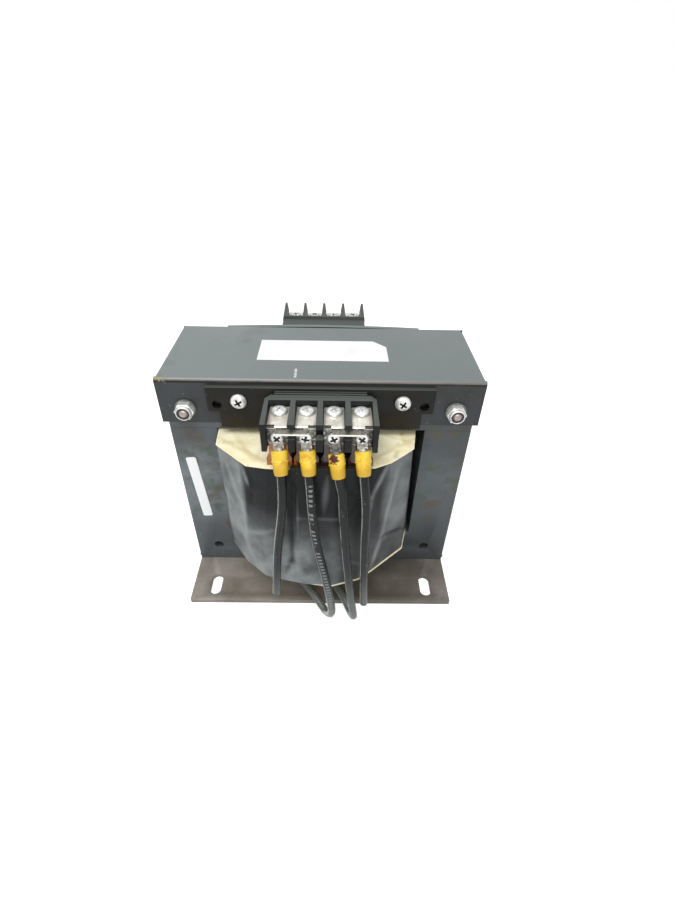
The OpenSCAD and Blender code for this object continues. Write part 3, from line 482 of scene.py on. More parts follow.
# Stamped silicon steel, blued by the anneal and dipped in varnish
coreSteel = newMaterial("varnishedSiliconSteel", {
    "base": "54595D", "blotch": "4A443D", "blotchSize": 26, "blotchStops": ((0.5, black), (0.78, white)),
    "roughness": (0.38, 0.55), "grainSize": 0.8, "grainStrength": 0.3, "metallic": 0.45,
    "speck": "8B8D8A", "speckSize": 1.6, "speckFrom": 0.71})
# Hot-rolled strip under drips of varnish: dull brownish grey with scale
footSteel = newMaterial("hotRolledSteel", {
    "base": "8D8881", "blotch": "746B60", "blotchSize": 22, "roughness": (0.42, 0.62),
    "grainSize": 0.7, "grainStrength": 0.35, "metallic": 0.4, "speck": "9C9890", "speckSize": 1.4,
    "speckFrom": 0.7})
# The bracket's strip is darker, with painted shade from the terminal block over it, and a painted
# olive-brown reflection of the paper at its lower edge
bracketSteel = newMaterial("varnishedSteelInShade", {
    "base": "151716", "blotch": "1C1812", "blotchSize": 18, "roughness": (0.36, 0.52), "ior": 1.32,
    "grainSize": 0.8, "grainStrength": 0.25, "metallic": 0.1, "speck": "4A4B46", "speckSize": 1.5,
    "speckFrom": 0.72})
# Welded joint: rippled bead with a heat-blued skin
weldSteel = newMaterial("weldedSteel", {
    "base": "5B5754", "blotch": "3E3B3A", "blotchSize": 5, "roughness": (0.4, 0.6),
    "grainSize": 1.2, "grainStrength": 0.8, "metallic": 0.6})
# Bright zinc plate over rolled threads and cold-headed screws
zincPlate = newMaterial("zincPlatedSteel", {
    "base": "EFF1F0", "blotch": "BDBCB6", "blotchSize": 3, "roughness": (0.24, 0.4),
    "grainSize": 0.5, "grainStrength": 0.2, "metallic": 0.5})
# Painted shade inside a cross recess: dark, rough zinc
recessZinc = newMaterial("recessShadeZinc", {
    "base": "4C4F4E", "blotch": "262827", "blotchSize": 1, "roughness": (0.45, 0.6),
    "grainSize": 0.4, "metallic": 0.3})
# The washers' plate is dull, and darker with painted shade under the nuts
washerSteel = newMaterial("shadedWasherZinc", {
    "base": "7B7E7E", "blotch": "62615C", "blotchSize": 3, "roughness": (0.4, 0.55),
    "grainSize": 0.5, "grainStrength": 0.2, "metallic": 0.6})
# Links: tinned strip, dark and crazed on the flat, with a painted highlight on the front edge
linkTin = newMaterial("crazedTinStrip", {
    "base": "8E8A83", "blotch": "625E57", "blotchSize": 1.3, "roughness": (0.34, 0.5),
    "grainSize": 0.7, "grainStrength": 0.9, "metallic": 0.55})
# Electro-tinned brass strip: pale, slightly warm, with fine stamping marks
tinPlate = newMaterial("tinnedBrass", {
    "base": "EAE7DD", "blotch": "C9C3B4", "blotchSize": 6, "roughness": (0.26, 0.42),
    "grainSize": 0.5, "grainStrength": 0.25, "metallic": 0.6, "speck": "9A9484", "speckSize": 0.9,
    "speckFrom": 0.7})
# The ring terminals have dulled: grey tin with a crazed surface
dullTin = newMaterial("dulledTin", {
    "base": "C4C1B9", "blotch": "69645C", "blotchSize": 1.8, "roughness": (0.3, 0.46),
    "grainSize": 0.6, "grainStrength": 0.5, "metallic": 0.6})
# The third ring terminal sat beside the burnt sleeve: dark, rough tin
burntTin = newMaterial("burntTin", {
    "base": "8A867E", "blotch": "3B3833", "blotchSize": 1.2, "roughness": (0.45, 0.65),
    "grainSize": 0.6, "grainStrength": 0.9, "metallic": 0.4})
# Phenolic moulding: hard, satin, slightly grey where it is rubbed
phenolic = newMaterial("mouldedPhenolic", {
    "base": "0D0E0E", "blotch": "151617", "blotchSize": 9, "roughness": (0.36, 0.48), "ior": 1.33,
    "grainSize": 0.5, "grainStrength": 0.3})
# Nylon ring of a lock nut
nylon = newMaterial("nylon", {
    "base": "221E1E", "blotch": "332B29", "blotchSize": 2, "roughness": (0.4, 0.5), "grainSize": 0.6})
# Sawn and rolled ends of the core studs: plate worn to a pinkish grey
studSteel = newMaterial("wornStudSteel", {
    "base": "B3A6A1", "blotch": "8D827D", "blotchSize": 2, "roughness": (0.35, 0.5),
    "grainSize": 0.5, "grainStrength": 0.4, "metallic": 0.5})
# Cream insulation paper: long fibres, soaked with varnish in places, creased at the folds
paper = newMaterial("insulationPaper", {
    "base": "F2ECCB", "blotch": "E0D09C", "blotchSize": 17, "blotchStops": ((0.45, black), (0.75, white)),
    "roughness": (0.6, 0.75), "grainSize": 0.7, "grainStrength": 0.5, "stretch": (1, 1.8, 1),
    "speck": "C2A96E", "speckSize": 1.6, "speckFrom": 0.7})
# Calendered black polyester film, lighter on its flats with painted light and a haze of dust; the folds show
# as painted soft highlights
wrapFilm = newMaterial("blackPolyesterFilm", {
    "base": "0B0C0D", "blotch": "191B1D", "blotchSize": 20, "blotchStops": ((0.35, black), (0.75, white)),
    "roughness": (0.3, 0.44), "ior": 1.3, "grainSize": 1.2, "grainStrength": 0.25, "stretch": (1, 1, 0.6),
    "speck": "6B6D6C", "speckSize": 1.2, "speckFrom": 0.73})
# Fibre board tube, pressed and sheared
fibreBoard = newMaterial("fibreBoard", {
    "base": "A08A5C", "blotch": "876F45", "blotchSize": 8, "roughness": (0.6, 0.8), "grainSize": 0.8})
# Enamelled round copper wire, wound in layers of about 1.3 mm, glossy brown-red
copperWire = newMaterial("enamelledCopper", {
    "base": "A55A2C", "blotch": "7E3F1E", "blotchSize": 9, "roughness": (0.25, 0.4), "grainSize": 0.8,
    "metallic": 0.6})
# Amber polyimide film over flat copper: see-through brown, wet-looking
amberFilm = newMaterial("amberPolyimideFilm", {
    "base": "B5681C", "blotch": "7F3C0E", "blotchSize": 5, "roughness": (0.14, 0.3), "grainSize": 1.4,
    "grainStrength": 0.6, "coat": 0.6, "coatRoughness": 0.1})
# Plasticised yellow vinyl, moulded: soft gloss, deeper yellow in the crimp
vinyl = newMaterial("yellowVinyl", {
    "base": "DDBE33", "blotch": "D2AE2A", "blotchSize": 4, "roughness": (0.28, 0.42),
    "grainSize": 1.0, "grainStrength": 0.25})
# Extruded black wire insulation: smooth and slightly waxy, with small grey scuffs, and painted light that
# greys it towards the cut ends and along the left side
insulation = newMaterial("blackWireInsulation", {
    "base": "0A0B0C", "blotch": "131516", "blotchSize": 9, "roughness": (0.2, 0.34), "ior": 1.4,
    "grainSize": 0.8, "grainStrength": 0.2, "stretch": (1, 1, 0.15)})
# Cut end of tinned copper strands
strandEnds = newMaterial("tinnedStrands", {
    "base": "CFCBC2", "blotch": "8E8A83", "blotchSize": 0.7, "roughness": (0.35, 0.5),
    "grainSize": 0.45, "grainStrength": 0.9, "metallic": 0.5})
# Coated label stock: white and smooth, a little soiled
labelStock = newMaterial("coatedPaper", {
    "base": "E4E5E6", "blotch": "DAD9D5", "blotchSize": 12, "blotchStops": ((0.5, black), (0.8, white)),
    "roughness": (0.42, 0.55), "grainSize": 0.8, "grainStrength": 0.15})
print("materials made")


def drawSheetEdges(spacing=1.4):
    # edges of the stacked sheets: 0.5 mm sheets, drawn further apart so that they show
    tree = coreSteel.node_tree
    wave = addNode(tree, "TexWave", {0: addNode(tree, "TexCoord", out="Object"), "Distortion": 0.4,
                                     "Scale": math.pi / 10 / (spacing * mm), "Detail": 1.0}, 1,
                   bands_direction="Y")
    lines = addNode(tree, "MapRange", {0: wave, 1: 0.05, 2: 0.35, 3: 1.0, 4: 0.0})
    deep = addNode(tree, "Math", {0: facing(tree)[1]}, operation="ABSOLUTE")
    edgeOn = addNode(tree, "MapRange", {0: deep, 1: 0.4, 2: 0.8, 3: 1.0, 4: 0.0})
    paintOver(coreSteel, "3A3A37", times(tree, lines, edgeOn))


def shadeSpareHoles(spot=(55.825, 0, 136.5), radius=3.2):
    # the skirt behind the bracket's two spare holes lies in shade
    tree = coverSteel.node_tree
    x, y, z = axes(tree)
    toSide = addNode(tree, "Math", {0: x}, operation="ABSOLUTE")
    flat = addNode(tree, "CombineXYZ", {0: toSide, 2: z})
    away = addNode(tree, "VectorMath", {0: flat, 1: Vector(spot) * mm}, "Value", operation="DISTANCE")
    paintOver(coverSteel, "050505", between(tree, away, -1, radius, 0.2))


def paintWrapLightAndDust():
    # painted light with a haze of dust on the lower bulge, less of it to the right, and on the flats at each
    # side
    tree = wrapFilm.node_tree
    x, y, z = axes(tree)
    low = addNode(tree, "MapRange", {0: z, **spread(92, 44)}, interpolation_type="SMOOTHSTEP")
    left = addNode(tree, "MapRange", {0: x, **spread(-41, -44)})
    right = addNode(tree, "MapRange", {0: x, **spread(33, 38, 0.0, 0.6)})
    lessRight = addNode(tree, "MapRange", {0: x, **spread(-12, 26, 1.0, 0.25)},
                        interpolation_type="SMOOTHSTEP")
    lessLow = addNode(tree, "MapRange", {0: z, **spread(52, 66, 0.35, 1.0)})
    lightAndDust = times(tree, low, lessRight)
    for flat in (left, times(tree, right, lessLow)):
        lightAndDust = addNode(tree, "Math", {0: lightAndDust, 1: flat}, operation="MAXIMUM")
    paintOver(wrapFilm, "858A8B", times(tree, lightAndDust, ragged(tree, 16, 0.3, 0.75, 0.3)))


def shadePlateFronts():
    # painted shade on the terminal plates' front faces
    tree = tinPlate.node_tree
    ahead = addNode(tree, "MapRange", {0: facing(tree)[1], 1: -0.7, 2: -0.95, 4: 0.9})
    paintOver(tinPlate, "3A3833", times(tree, ahead, ragged(tree, 1.6, 0.3, 0.5)))


def burnSleeve(spot=(6.2, -70.4, 126.2), radius=4.2, fray=1.6):
    # a dark red-brown stain, burnt into the third sleeve
    tree = vinyl.node_tree
    away = addNode(tree, "VectorMath", {0: addNode(tree, "TexCoord", out="Object"), 1: Vector(spot) * mm},
                   "Value", operation="DISTANCE")
    frayed = times(tree, ragged(tree, 1.5, 0.3, 0.7), fray * mm)
    wobble = addNode(tree, "Math", {0: away, 1: frayed}, operation="ADD")
    paintOver(vinyl, "45060E", between(tree, wobble, -1, radius, 0.5))


dashes = {
    "pitch": 2.6, "z": (16, 112, 1), "patches": (6, 0.37, 0.45),
    # the line they follow, as the lead comes down: height where it starts and ends, and x there
    "from": (104, -4.3), "to": (18, 7.0), "across": (-1.1, 0.7, 0.2), "front": (-90, -74, 1),
}


def dressLeads():
    tree = insulation.node_tree
    x, y, z = axes(tree)
    # painted highlight: a pale line along the left side, where the light falls
    leftHighlight = addNode(tree, "MapRange", {0: facing(tree)[0], 1: -0.72, 2: -0.92, 4: 0.9})
    paintOver(insulation, "B4B9B3", times(tree, leftHighlight, ragged(tree, 7, 0.25, 0.5)))
    # bare light dashes down the second lead, where its printing was
    turns = times(tree, z, 2 * math.pi / (dashes["pitch"] * mm))
    beat = addNode(tree, "Math", {0: turns}, operation="SINE")
    dash = times(tree, between(tree, beat, 0.1, 2.0, 0.2, 1), between(tree, z, *dashes["z"]),
                 ragged(tree, *dashes["patches"]))
    (start, left), (end, right) = dashes["from"], dashes["to"]
    drift = addNode(tree, "MapRange", {0: z, **spread(start, end, left * mm, right * mm)},
                    interpolation_type="SMOOTHSTEP")
    offset = addNode(tree, "Math", {0: x, 1: drift}, operation="SUBTRACT")
    onFront = times(tree, between(tree, offset, *dashes["across"]), between(tree, y, *dashes["front"]))
    paintOver(insulation, "6E7272", times(tree, dash, onFront))


# Painted light with dust on the cover's top sheet, less of both to the right
mark(coverSteel, "757D7D", up=0.5, patches=(30, 0.2, 0.7, 0.62))
mark(coverSteel, "656D6D", up=0.5, x=(-50, 10, 0.0, 0.5))
# Bare brown line where its front bend was rubbed, and a painted shadow line under it
mark(coverSteel, "665951", y=(-34.5, -31.6, 0.3), z=(149.1, 149.6, 0.15), patches=(14, 0.3, 0.42))
mark(coverSteel, "0D0E0F", y=(-34.5, -31.6, 0.3), z=(148.0, 148.75, 0.2), patches=(22, 0.3, 0.42))
shadeSpareHoles()
# Bright scratch on its top, made by one slip of a tool
mark(coverSteel, "C2C6C4", x=(-14.4, -13.3, 0.3), y=(-30, -22, 1.5), patches=(1.6, 0.35, 0.5))
# Olive varnish left at its two left corners
for yBand in ((-40, -30, 2), (30, 40, 2)):
    mark(coverSteel, "7F7A48", x=(-95, -83, 2), y=yBand, z=(148.8, 152, 0.8), patches=(1.8, 0.54, 0.6))

drawSheetEdges()
# Painted reflection of the floor half way up the core's legs, stronger on the left, and painted shade over
# the right side
mark(coreSteel, "7A8184", z=(62, 84, 26), x=(-30, 30, 0.85, 0.5), patches=(24, 0.2, 0.6))
mark(coreSteel, "34383A", x=(20, 60, 0.0, 0.45))
# Faint brown and greenish smears beside the windows
mark(coreSteel, "554B41", z=(36, 118, 8), patches=(14, 0.54, 0.7), share=0.85)
mark(coreSteel, "46503F", z=(36, 118, 8), patches=(9, 0.54, 0.7), share=0.65)

paintWrapLightAndDust()
# Light on the ridges of the wrap's folds and shade in their valleys
paintCreases(wrapFilm, ((0.12, 0.9, "8D9293"), (-0.12, -0.9, "08090A")), 0.8)

# Painted shade over the feet's right half
mark(footSteel, "504C45", x=(-30, 20, 0.1, 0.75), patches=(24, 0.2, 0.6))
# Painted reflection of the paper, olive-brown, at the bracket's lower edge, and painted light on its top
# edge
mark(bracketSteel, "231C0E", z=(121, 126, 5), patches=(12, 0.4, 0.62))
mark(bracketSteel, "43463F", up=0.5, z=(144, 160, 1))
# The rear block is painted lighter, as it stands in the light, and every top face gets painted light with
# dust
mark(phenolic, "3C4241", y=(30, 99, 1))
mark(phenolic, "4A4E4B", up=0.6)

# Orange shade inside the sleeves' crimp, and a deeper yellow below it
mark(vinyl, "C4961E", z=(119, 128, 2), patches=(3, 0.5, 0.66))
mark(vinyl, "BC951A", smooth=True, z=(124.5, 120, 0.0, 0.85))
burnSleeve()

shadePlateFronts()
# The links' front edges get a painted highlight, and painted shade darkens the film over the strips to the
# right, behind the sleeves
mark(linkTin, "EEEBE3", y=(-69, -66.9, 0.1))
mark(amberFilm, "2E100A", x=(-11, 60, 2), y=(-90, 0, 1))
# Painted shade on the paper under the terminal block, and painted shade along the creases, deeper in the
# valleys
mark(paper, "1C1712", x=(-15, 25, 2.5), y=(-90, -46, 3), z=(112, 120, 1))
paintCreases(paper, ((0.15, 0.9, "CDBC88"), (-0.1, -0.6, "A8945C")), 0.7)

# The leads get painted light towards their cut ends, and small scuffs
mark(insulation, "5B605E", smooth=True, z=(58, 16, 0.0, 0.9))
mark(insulation, "4A4D4D", patches=(2.6, 0.66, 0.74))
dressLeads()
print("marks and wear added")


def inRow(pitch, y, z, side, turns):
    # four screws along X, one for each turn
    return [((i - 1.5) * pitch, y, z, side, turn) for i, turn in enumerate(turns)]


# Screws: cold-headed, with a cross recess
screws = {
    # head and shank: diameter and length in mm; recess: length and width in mm; dirty: painted shade in the
    # recess
    # spots: x, y and z of the head's seat in mm, the side that it looks to, and its turn in degrees
    "coil": {"head": (8.8, 2.1), "shank": (3.9, 5.6), "recess": (4.6, 0.8), "dirty": False,
             "spots": inRow(14, -49.325, 141.0, "up", (62, 20, 35, 12))},
    "wire": {"head": (6.5, 1.9), "shank": (3.3, 7.5), "recess": (4.1, 1.2), "dirty": True,
             "spots": inRow(14, -64.325, 135.85, "front", (40, 75, 25, 50))},
    "bracket": {"head": (8.7, 2.9), "shank": (3.9, 4.1), "recess": (4.5, 1.15), "dirty": True,
                "spots": [(-43.825, -36.725, 139.1, "front", 25), (43.825, -36.725, 139.1, "front", 55),
                          (-43.825, 36.725, 139.1, "rear", 25), (43.825, 36.725, 139.1, "rear", 55)]},
    "rear": {"head": (7.0, 2.2), "shank": (3.3, 7.0), "recess": (4.2, 0.9), "dirty": True,
             "spots": inRow(12.7, 55.425, 147.5, "up", (10, 45, 80, 115))},
}
screwShape = {
    # outline from the shank's tip up, as (height, radius): the shank's in mm and shares of its
    # radius, the head's in shares of its height and radius
    "shank": ((0, 0.8), (0.5, 1)), "neck": -0.02,
    "head": ((0, 0.96), (0.12, 1), (0.42, 0.985), (0.68, 0.88), (0.86, 0.68), (0.96, 0.44), (1, 0.2)),
    "sides": 36, "edge": 0.07, "edgeAngle": 50,
    "recessTurn": 3.7, "recessMiddle": 0.72,   # degrees, and share of the head's height
    "domeRise": 0.93, "recessDepth": 0.22,
}


def makeScrew(kind):
    look, shape = screws[kind], screwShape
    (headD, headH), (shankD, shankL), (crossL, crossW) = look["head"], look["shank"], look["recess"]
    r, s = headD / 2, shankD / 2
    rings = [(up - shankL, s * out, s * out) for up, out in shape["shank"]] + [(shape["neck"], s, s)]
    rings += [(headH * up, r * out, r * out) for up, out in shape["head"]]
    obj = turned(kind + "Screw", rings, shape["sides"])
    for turn in (0, 90):
        clearSelection()
        bpy.ops.mesh.primitive_cube_add(size=1, location=(0, 0, headH * shape["recessMiddle"] * mm),
                                        rotation=(0, 0, math.radians(turn + shape["recessTurn"])))
        slotCut = bpy.context.object
        slotCut.scale = (crossL * mm, crossW * mm, headH * mm)
        applyModifier(obj, "BOOLEAN", operation="DIFFERENCE", object=slotCut, solver="EXACT")
        bpy.data.objects.remove(slotCut)
    obj.data.materials.append(zincPlate)
    obj.data.materials.append(recessZinc)
    for face in obj.data.polygons:
        # faces that lie deeper than the dome over them are the recess's own, and take the painted shade
        # where the kind has it
        out, up = face.center.xy.length / mm, face.center.z / mm
        dome = headH * math.sqrt(max(0, 1 - shape["domeRise"] * (out / r) ** 2))
        inRecess = out < crossL / 2 and 0 < up < dome - shape["recessDepth"]
        face.material_index = int(look["dirty"] and inRecess)
    softEdges(obj, shape["edge"], 1, sharperThan=shape["edgeAngle"])
    return obj


def screwSet(kind, node):
    sides = {"up": Matrix.Identity(4), "front": Matrix.Rotation(math.pi / 2, 4, "X"),
             "rear": Matrix.Rotation(-math.pi / 2, 4, "X")}
    pattern = makeScrew(kind)
    copies = []
    for x, y, z, side, turn in screws[kind]["spots"]:
        copy = newObject(pieceName(node), pattern.data.copy())
        place(copy, Matrix.Translation(Vector((x, y, z)) * mm) @ sides[side]
              @ Matrix.Rotation(math.radians(turn), 4, "Z"))
        copies.append(copy)
    bpy.data.objects.remove(pattern)
    pick(copies[0])
    for copy in copies:
        copy.select_set(True)
    bpy.ops.object.join()
    seat(copies[0], node)


for kind, node in (("coil", "front_coil_screws"), ("wire", "front_wire_screws"),
                   ("bracket", "bracket_screws"), ("rear", "rear_screws")):
    screwSet(kind, node)
print("screws made")

# Sleeves: vinyl, crimped flat above and round at the mouth
sleeveShape = {
    # (mm from the sleeve's start, half width, half depth)
    "outside": ((0.0, 3.55, 2.85), (0.25, 4.05, 3.02), (0.9, 4.22, 3.1), (2.4, 4.1, 3.0), (4.6, 4.16, 3.05),
                (5.1, 4.2, 3.1), (5.4, 4.44, 3.42), (5.85, 4.44, 3.5), (6.1, 4.04, 3.42), (6.7, 4.0, 3.7),
                (8.4, 3.95, 3.86), (10.6, 3.78, 3.76), (12.3, 3.62, 3.62), (12.9, 3.46, 3.46)),
    "inside": ((12.6, 2.95, 2.95), (9.0, 2.75, 2.75), (7.4, 2.5, 2.5)),
    "sides": 40,
}


def makeSleeve(i):
    node = f"sleeve_{i + 1}"
    obj = turned(pieceName(node), sleeveShape["outside"] + sleeveShape["inside"], sleeveShape["sides"])
    place(obj, barrelTurn(i) @ Matrix.Translation((0, 0, terminals["sleeveStart"] * mm)))
    return seat(obj, node, vinyl)


def makeRing(i):
    # stamped ring and neck, with a rolled barrel; the third lay beside the burn
    node = f"ring_terminal_{i + 1}"
    return seat(softCopy(node, terminals["edge"], 2), node, burntTin if i == 2 else dullTin)


sleeves = [makeSleeve(i) for i in range(4)]
rings = [makeRing(i) for i in range(4)]
print("sleeves and ring terminals made")

for i, (lead, line) in enumerate(leadPieces):
    seat(lead, f"lead_{i + 1}")
    lead.data.materials[0] = insulation
    lead.data.materials[1] = strandEnds


# Coil wrap: black film drawn tight round the winding, in flats and folds
coil = {
    "low": 33.25, "high": 115.975, "middle": -1.0, "stackHalf": 33,
    # outline of the front half from left to right, where the wrap meets the lower and the upper paper
    "bottom": ((-58.5, -31.5), (-57.0, -43.5), (-46.0, -59.2), (-33.4, -69.8), (-21.5, -73.2), (-8.8, -75.9),
               (7.1, -76.6), (23.1, -71.6), (30.5, -66.0), (52.6, -46.6), (56.6, -31.5)),
    "top": ((-58.2, -31.5), (-57.2, -45.6), (-38.6, -63.0), (-27.9, -65.0), (-19.0, -65.2), (-9.0, -65.2),
            (9.0, -65.0), (28.7, -63.6), (37.6, -59.2), (51.0, -47.3), (53.8, -31.5)),
    "perEdge": 14, "rows": 64, "skin": 0.45,
    # folds: (x1, z1, x2, z2, width, height) in mm, a ridge where the height is more than 0
    "folds": (
        (-15.7, 107, -16.5, 50, 2.0, -1.3), (-18.9, 106, -18.9, 76, 1.8, 0.9),
        (-16.5, 52, -21, 40, 2.2, -0.8), (-12.4, 104, -13.0, 60, 1.4, 0.5),
        (42.3, 108, 36.4, 60, 1.5, 0.8), (36.4, 62, 31.4, 36, 1.6, 0.9), (36.0, 60.3, 53.6, 50, 1.5, -1.0),
        (36.3, 116, 28.0, 97, 1.6, 0.7), (28.0, 97, 26.7, 84, 1.8, 0.6),
        (-41.5, 114, -37.2, 99, 1.5, 0.9), (-36.3, 113, -37.6, 90, 1.8, -0.7),
        (-53.2, 114, -43.2, 76, 2.0, 0.6), (-43.2, 78, -43.6, 56, 2.0, 0.5),
        (-43.4, 63, -26.0, 73, 1.8, 0.6), (-14, 83.4, 23, 83.0, 1.5, 0.35), (-14.6, 58.7, -1, 60, 1.4, 0.3),
        (12, 103, 24, 95, 2.6, -0.7), (20, 92, 15, 76, 2.2, -0.4), (4, 112, 2, 88, 2.4, 0.4),
        (-50.5, 70, -38, 36, 1.8, 0.5), (-30, 52, -6, 42, 1.6, 0.4), (10, 56, 26, 44, 1.6, 0.4),
    ),
    "foldFade": (1.15, 1.3), "foldSharpness": 1.3,
    # height in mm, and how fast each changes along x, along z and on the slant; wrinkles: their middle too
    "waves": (0.7, 0.05, 0.045), "wrinkles": (0.5, 0.1, 0.05, 0.03, 0.4),
    "mostLift": 1.6, "sink": 0.3, "edgeRise": 8, "edgeLift": 0.15, "forward": 1.3, "smooth": 55,
}


def coilOutline(t, inset):
    # the closed outline at height t (0 low, 1 high): the front half and the same half turned round
    half = [Vector(low).lerp(Vector(high), t) for low, high in zip(coil["bottom"], coil["top"])]
    count = coil["perEdge"]
    front = []
    for p, q in zip(half, half[1:]):
        front += [p.lerp(q, k / count) for k in range(count)]
    front.append(half[-1])
    ring = front + [Vector((2 * coil["middle"] - p.x, -p.y)) for p in front]
    if inset:
        centre = Vector((coil["middle"], 0))
        ring = [p + (centre - p).normalized() * inset for p in ring]
    return ring


def frontX(p):
    # the rear half is the front half turned round
    return 2 * coil["middle"] - p.x if p.y > 0 else p.x


def foldHeight(x, z):
    height, p = 0, Vector((x, z))
    for x1, z1, x2, z2, width, tall in coil["folds"]:
        a, b = Vector((x1, z1)), Vector((x2, z2))
        along = (p - a).dot(b - a) / (b - a).length_squared
        near = a.lerp(b, min(max(along, 0), 1))
        inMiddle, towardsEnds = coil["foldFade"]
        fade = min(1, max(0, inMiddle - abs(along - 0.5) * towardsEnds))
        height += tall * fade * math.exp(-((p - near).length / width) ** coil["foldSharpness"])
    return height


def loft(name, rows, spot, tall=0.08):
    # an open band of faces; spot(row, column) gives each point in mm, from the outside of row 0 on.
    # It starts as a small upright tube, in metres
    count = len(coilOutline(0, 0))
    clearSelection()
    bpy.ops.mesh.primitive_cylinder_add(vertices=count, radius=tall / 2, depth=tall, end_fill_type="NOTHING")
    obj = bpy.context.object
    obj.name = name

    def upright(edge):
        low, high = (obj.data.vertices[i].co.z for i in edge.vertices)
        return abs(high - low) > tall / 2

    selectParts(obj, "EDGE", upright)
    bpy.ops.mesh.subdivide(number_cuts=rows - 1)
    objectMode()
    for v in obj.data.vertices:
        row = round((v.co.z / tall + 0.5) * rows)
        column = round(math.atan2(v.co.x, v.co.y) / (2 * math.pi) * count) % count
        v.co = Vector(spot(row, column)) * mm
    obj.data.update()
    facesOut(obj)
    return obj


def keepCreases(obj, heightAt):
    # the folds' height at each point, which the material reads
    creased = obj.data.attributes.new("crease", "FLOAT", "POINT")
    for v in obj.data.vertices:
        creased.data[v.index].value = heightAt(v.co / mm)


outlineRows = [coilOutline(row / coil["rows"], 0) for row in range(coil["rows"] + 1)]


def wrapSpot(row, column):
    t = row / coil["rows"]
    p = outlineRows[row][column]
    z = coil["low"] + (coil["high"] - coil["low"]) * t
    if abs(p.y) <= coil["stackHalf"]:
        return p.x, p.y, z
    x, half = frontX(p), 3.0 if p.y > 0 else 0.0  # each half has its own waves
    lift = foldHeight(x, z)
    high, alongX, alongZ = coil["waves"]
    lift += high * noise.noise(Vector((x * alongX, half, z * alongZ)))
    high, alongX, alongZ, slant, middle = coil["wrinkles"]
    lift += high * (middle - abs(noise.noise(Vector((x * alongX + z * slant, half + 2, z * alongZ)))))
    edge = min(1, coil["edgeRise"] * min(t, 1 - t) + coil["edgeLift"])
    lift = min(lift * edge, coil["mostLift"]) - coil["sink"]
    out = Vector((p.x - coil["middle"], p.y * coil["forward"])).normalized()
    return p.x + out.x * lift, p.y + out.y * lift, z


wrap = loft("coilWrap", coil["rows"], wrapSpot)
keepCreases(wrap, lambda p: foldHeight(frontX(p), p.z))
applyModifier(wrap, "SOLIDIFY", thickness=coil["skin"] * mm, offset=-1)
smoothUnder(wrap, coil["smooth"])
seat(wrap, "coil_wrap", wrapFilm)
print("coil wrap made")

# The winding under the wrap follows the wrap's flats, a little further in
winding = {"inset": 2.2, "legX": 42.9, "legY": 50.6}


def towardsLeg(p, halfX, halfY):
    # the point of an upright box round the leg that lies on the line to its middle
    x, y = p.x - coil["middle"], p.y
    k = max(abs(x) / halfX, abs(y) / halfY, 1)
    return Vector((coil["middle"] + x / k, y / k))


def windingSpot(row, column):
    atFoot = row in (0, 3)
    p = coilOutline(0 if atFoot else 1, winding["inset"])[column]
    if row > 1:
        p = towardsLeg(p, winding["legX"], winding["legY"])
    return p.x, p.y, coil["low" if atFoot else "high"]


secondary = loft("secondaryWinding", 3, windingSpot)
editAll(secondary)
selectRims()
bpy.ops.mesh.bridge_edge_loops()
facesOut(secondary)
seat(secondary, "secondary_winding", copperWire)

# End papers: cream sheets with cut outlines and creases
papers = {
    "thick": 0.5, "rows": 20, "legX": 30.9, "legY": 34.8, "smooth": 40,
    "tuck": 1.2, "showsFrom": -12, "showsOver": 16,  # the lower one stands out of the wrap only on the right
    "waves": (0.2, 0.13, 0.1), "stackHalf": 36, "mostLift": 0.55, "creaseSharpness": 1.2,
    "upper": {"z": 115.975, "t": 1.0, "out": 0.25, "creases": (
        (-57, -40, -30, -60, 1.2, 0.45), (-50, -34, -36, -58, 1.4, 0.35), (-30, -33, -34, -60, 1.4, 0.3),
        (-56, -45, -44, -44, 1.2, 0.3), (56, -36, 30, -56, 1.2, 0.45), (46, -33, 40, -55, 1.4, -0.3),
        (33, -34, 52, -44, 1.3, 0.35), (50, -48, 44, -36, 1.0, 0.3))},
    "lower": {"z": 32.7, "t": 0.0, "out": 0.35, "creases": ()},
}


def paperLift(p, look):
    # how far the creases lift the sheet at a point of the plan
    here, lift = Vector((frontX(p), -abs(p.y))), 0
    for x1, y1, x2, y2, width, tall in look["creases"]:
        a, b = Vector((x1, y1)), Vector((x2, y2))
        along = min(max((here - a).dot(b - a) / (b - a).length_squared, 0), 1)
        lift += tall * math.exp(-((here - a.lerp(b, along)).length / width) ** papers["creaseSharpness"])
    return lift


def makePaper(end):
    look, node = papers[end], end + "_end_paper"
    wide, narrow = coilOutline(look["t"], -look["out"]), coilOutline(look["t"], papers["tuck"])

    def spot(row, column):
        toRight = wide[column].x * (-1 if wide[column].y > 0 else 1)
        shows = 1 if look["t"] else min(max((toRight - papers["showsFrom"]) / papers["showsOver"], 0), 1)
        p = narrow[column].lerp(wide[column], shows)
        p = p.lerp(towardsLeg(p, papers["legX"], papers["legY"]), 1 - row / papers["rows"])
        lift = paperLift(p, look)
        if look["creases"] and abs(p.y) > papers["stackHalf"]:
            high, alongX, alongY = papers["waves"]
            lift += high * noise.noise(Vector((p.x * alongX, p.y * alongY, 0)))
        return p.x, p.y, look["z"] + min(lift, papers["mostLift"])

    obj = loft(pieceName(node), papers["rows"], spot)
    keepCreases(obj, lambda p: 2 * paperLift(p, look))
    applyModifier(obj, "SOLIDIFY", thickness=papers["thick"] * mm, offset=0)
    place(obj, Matrix.Translation((0, 0, papers["thick"] / 2 * mm)))
    smoothUnder(obj, papers["smooth"])
    seat(obj, node, paper)


makePaper("upper")
makePaper("lower")
print("winding and end papers made")

# Formed and moulded pieces: edges softened by how each was made
coverCorner = {"reliefX": 84.02, "within": 0.3, "topY": 31.0, "bendY": 31.2, "bendZ": 150, "skirtX": 88.15,
               "topX": 85.6}
rearBracket = {"cuts": (-48, -36, -24, -12, 0, 12, 24, 36, 48), "above": 146, "lift": 2.0, "bow": 1.2,
               "halfWidth": 61}


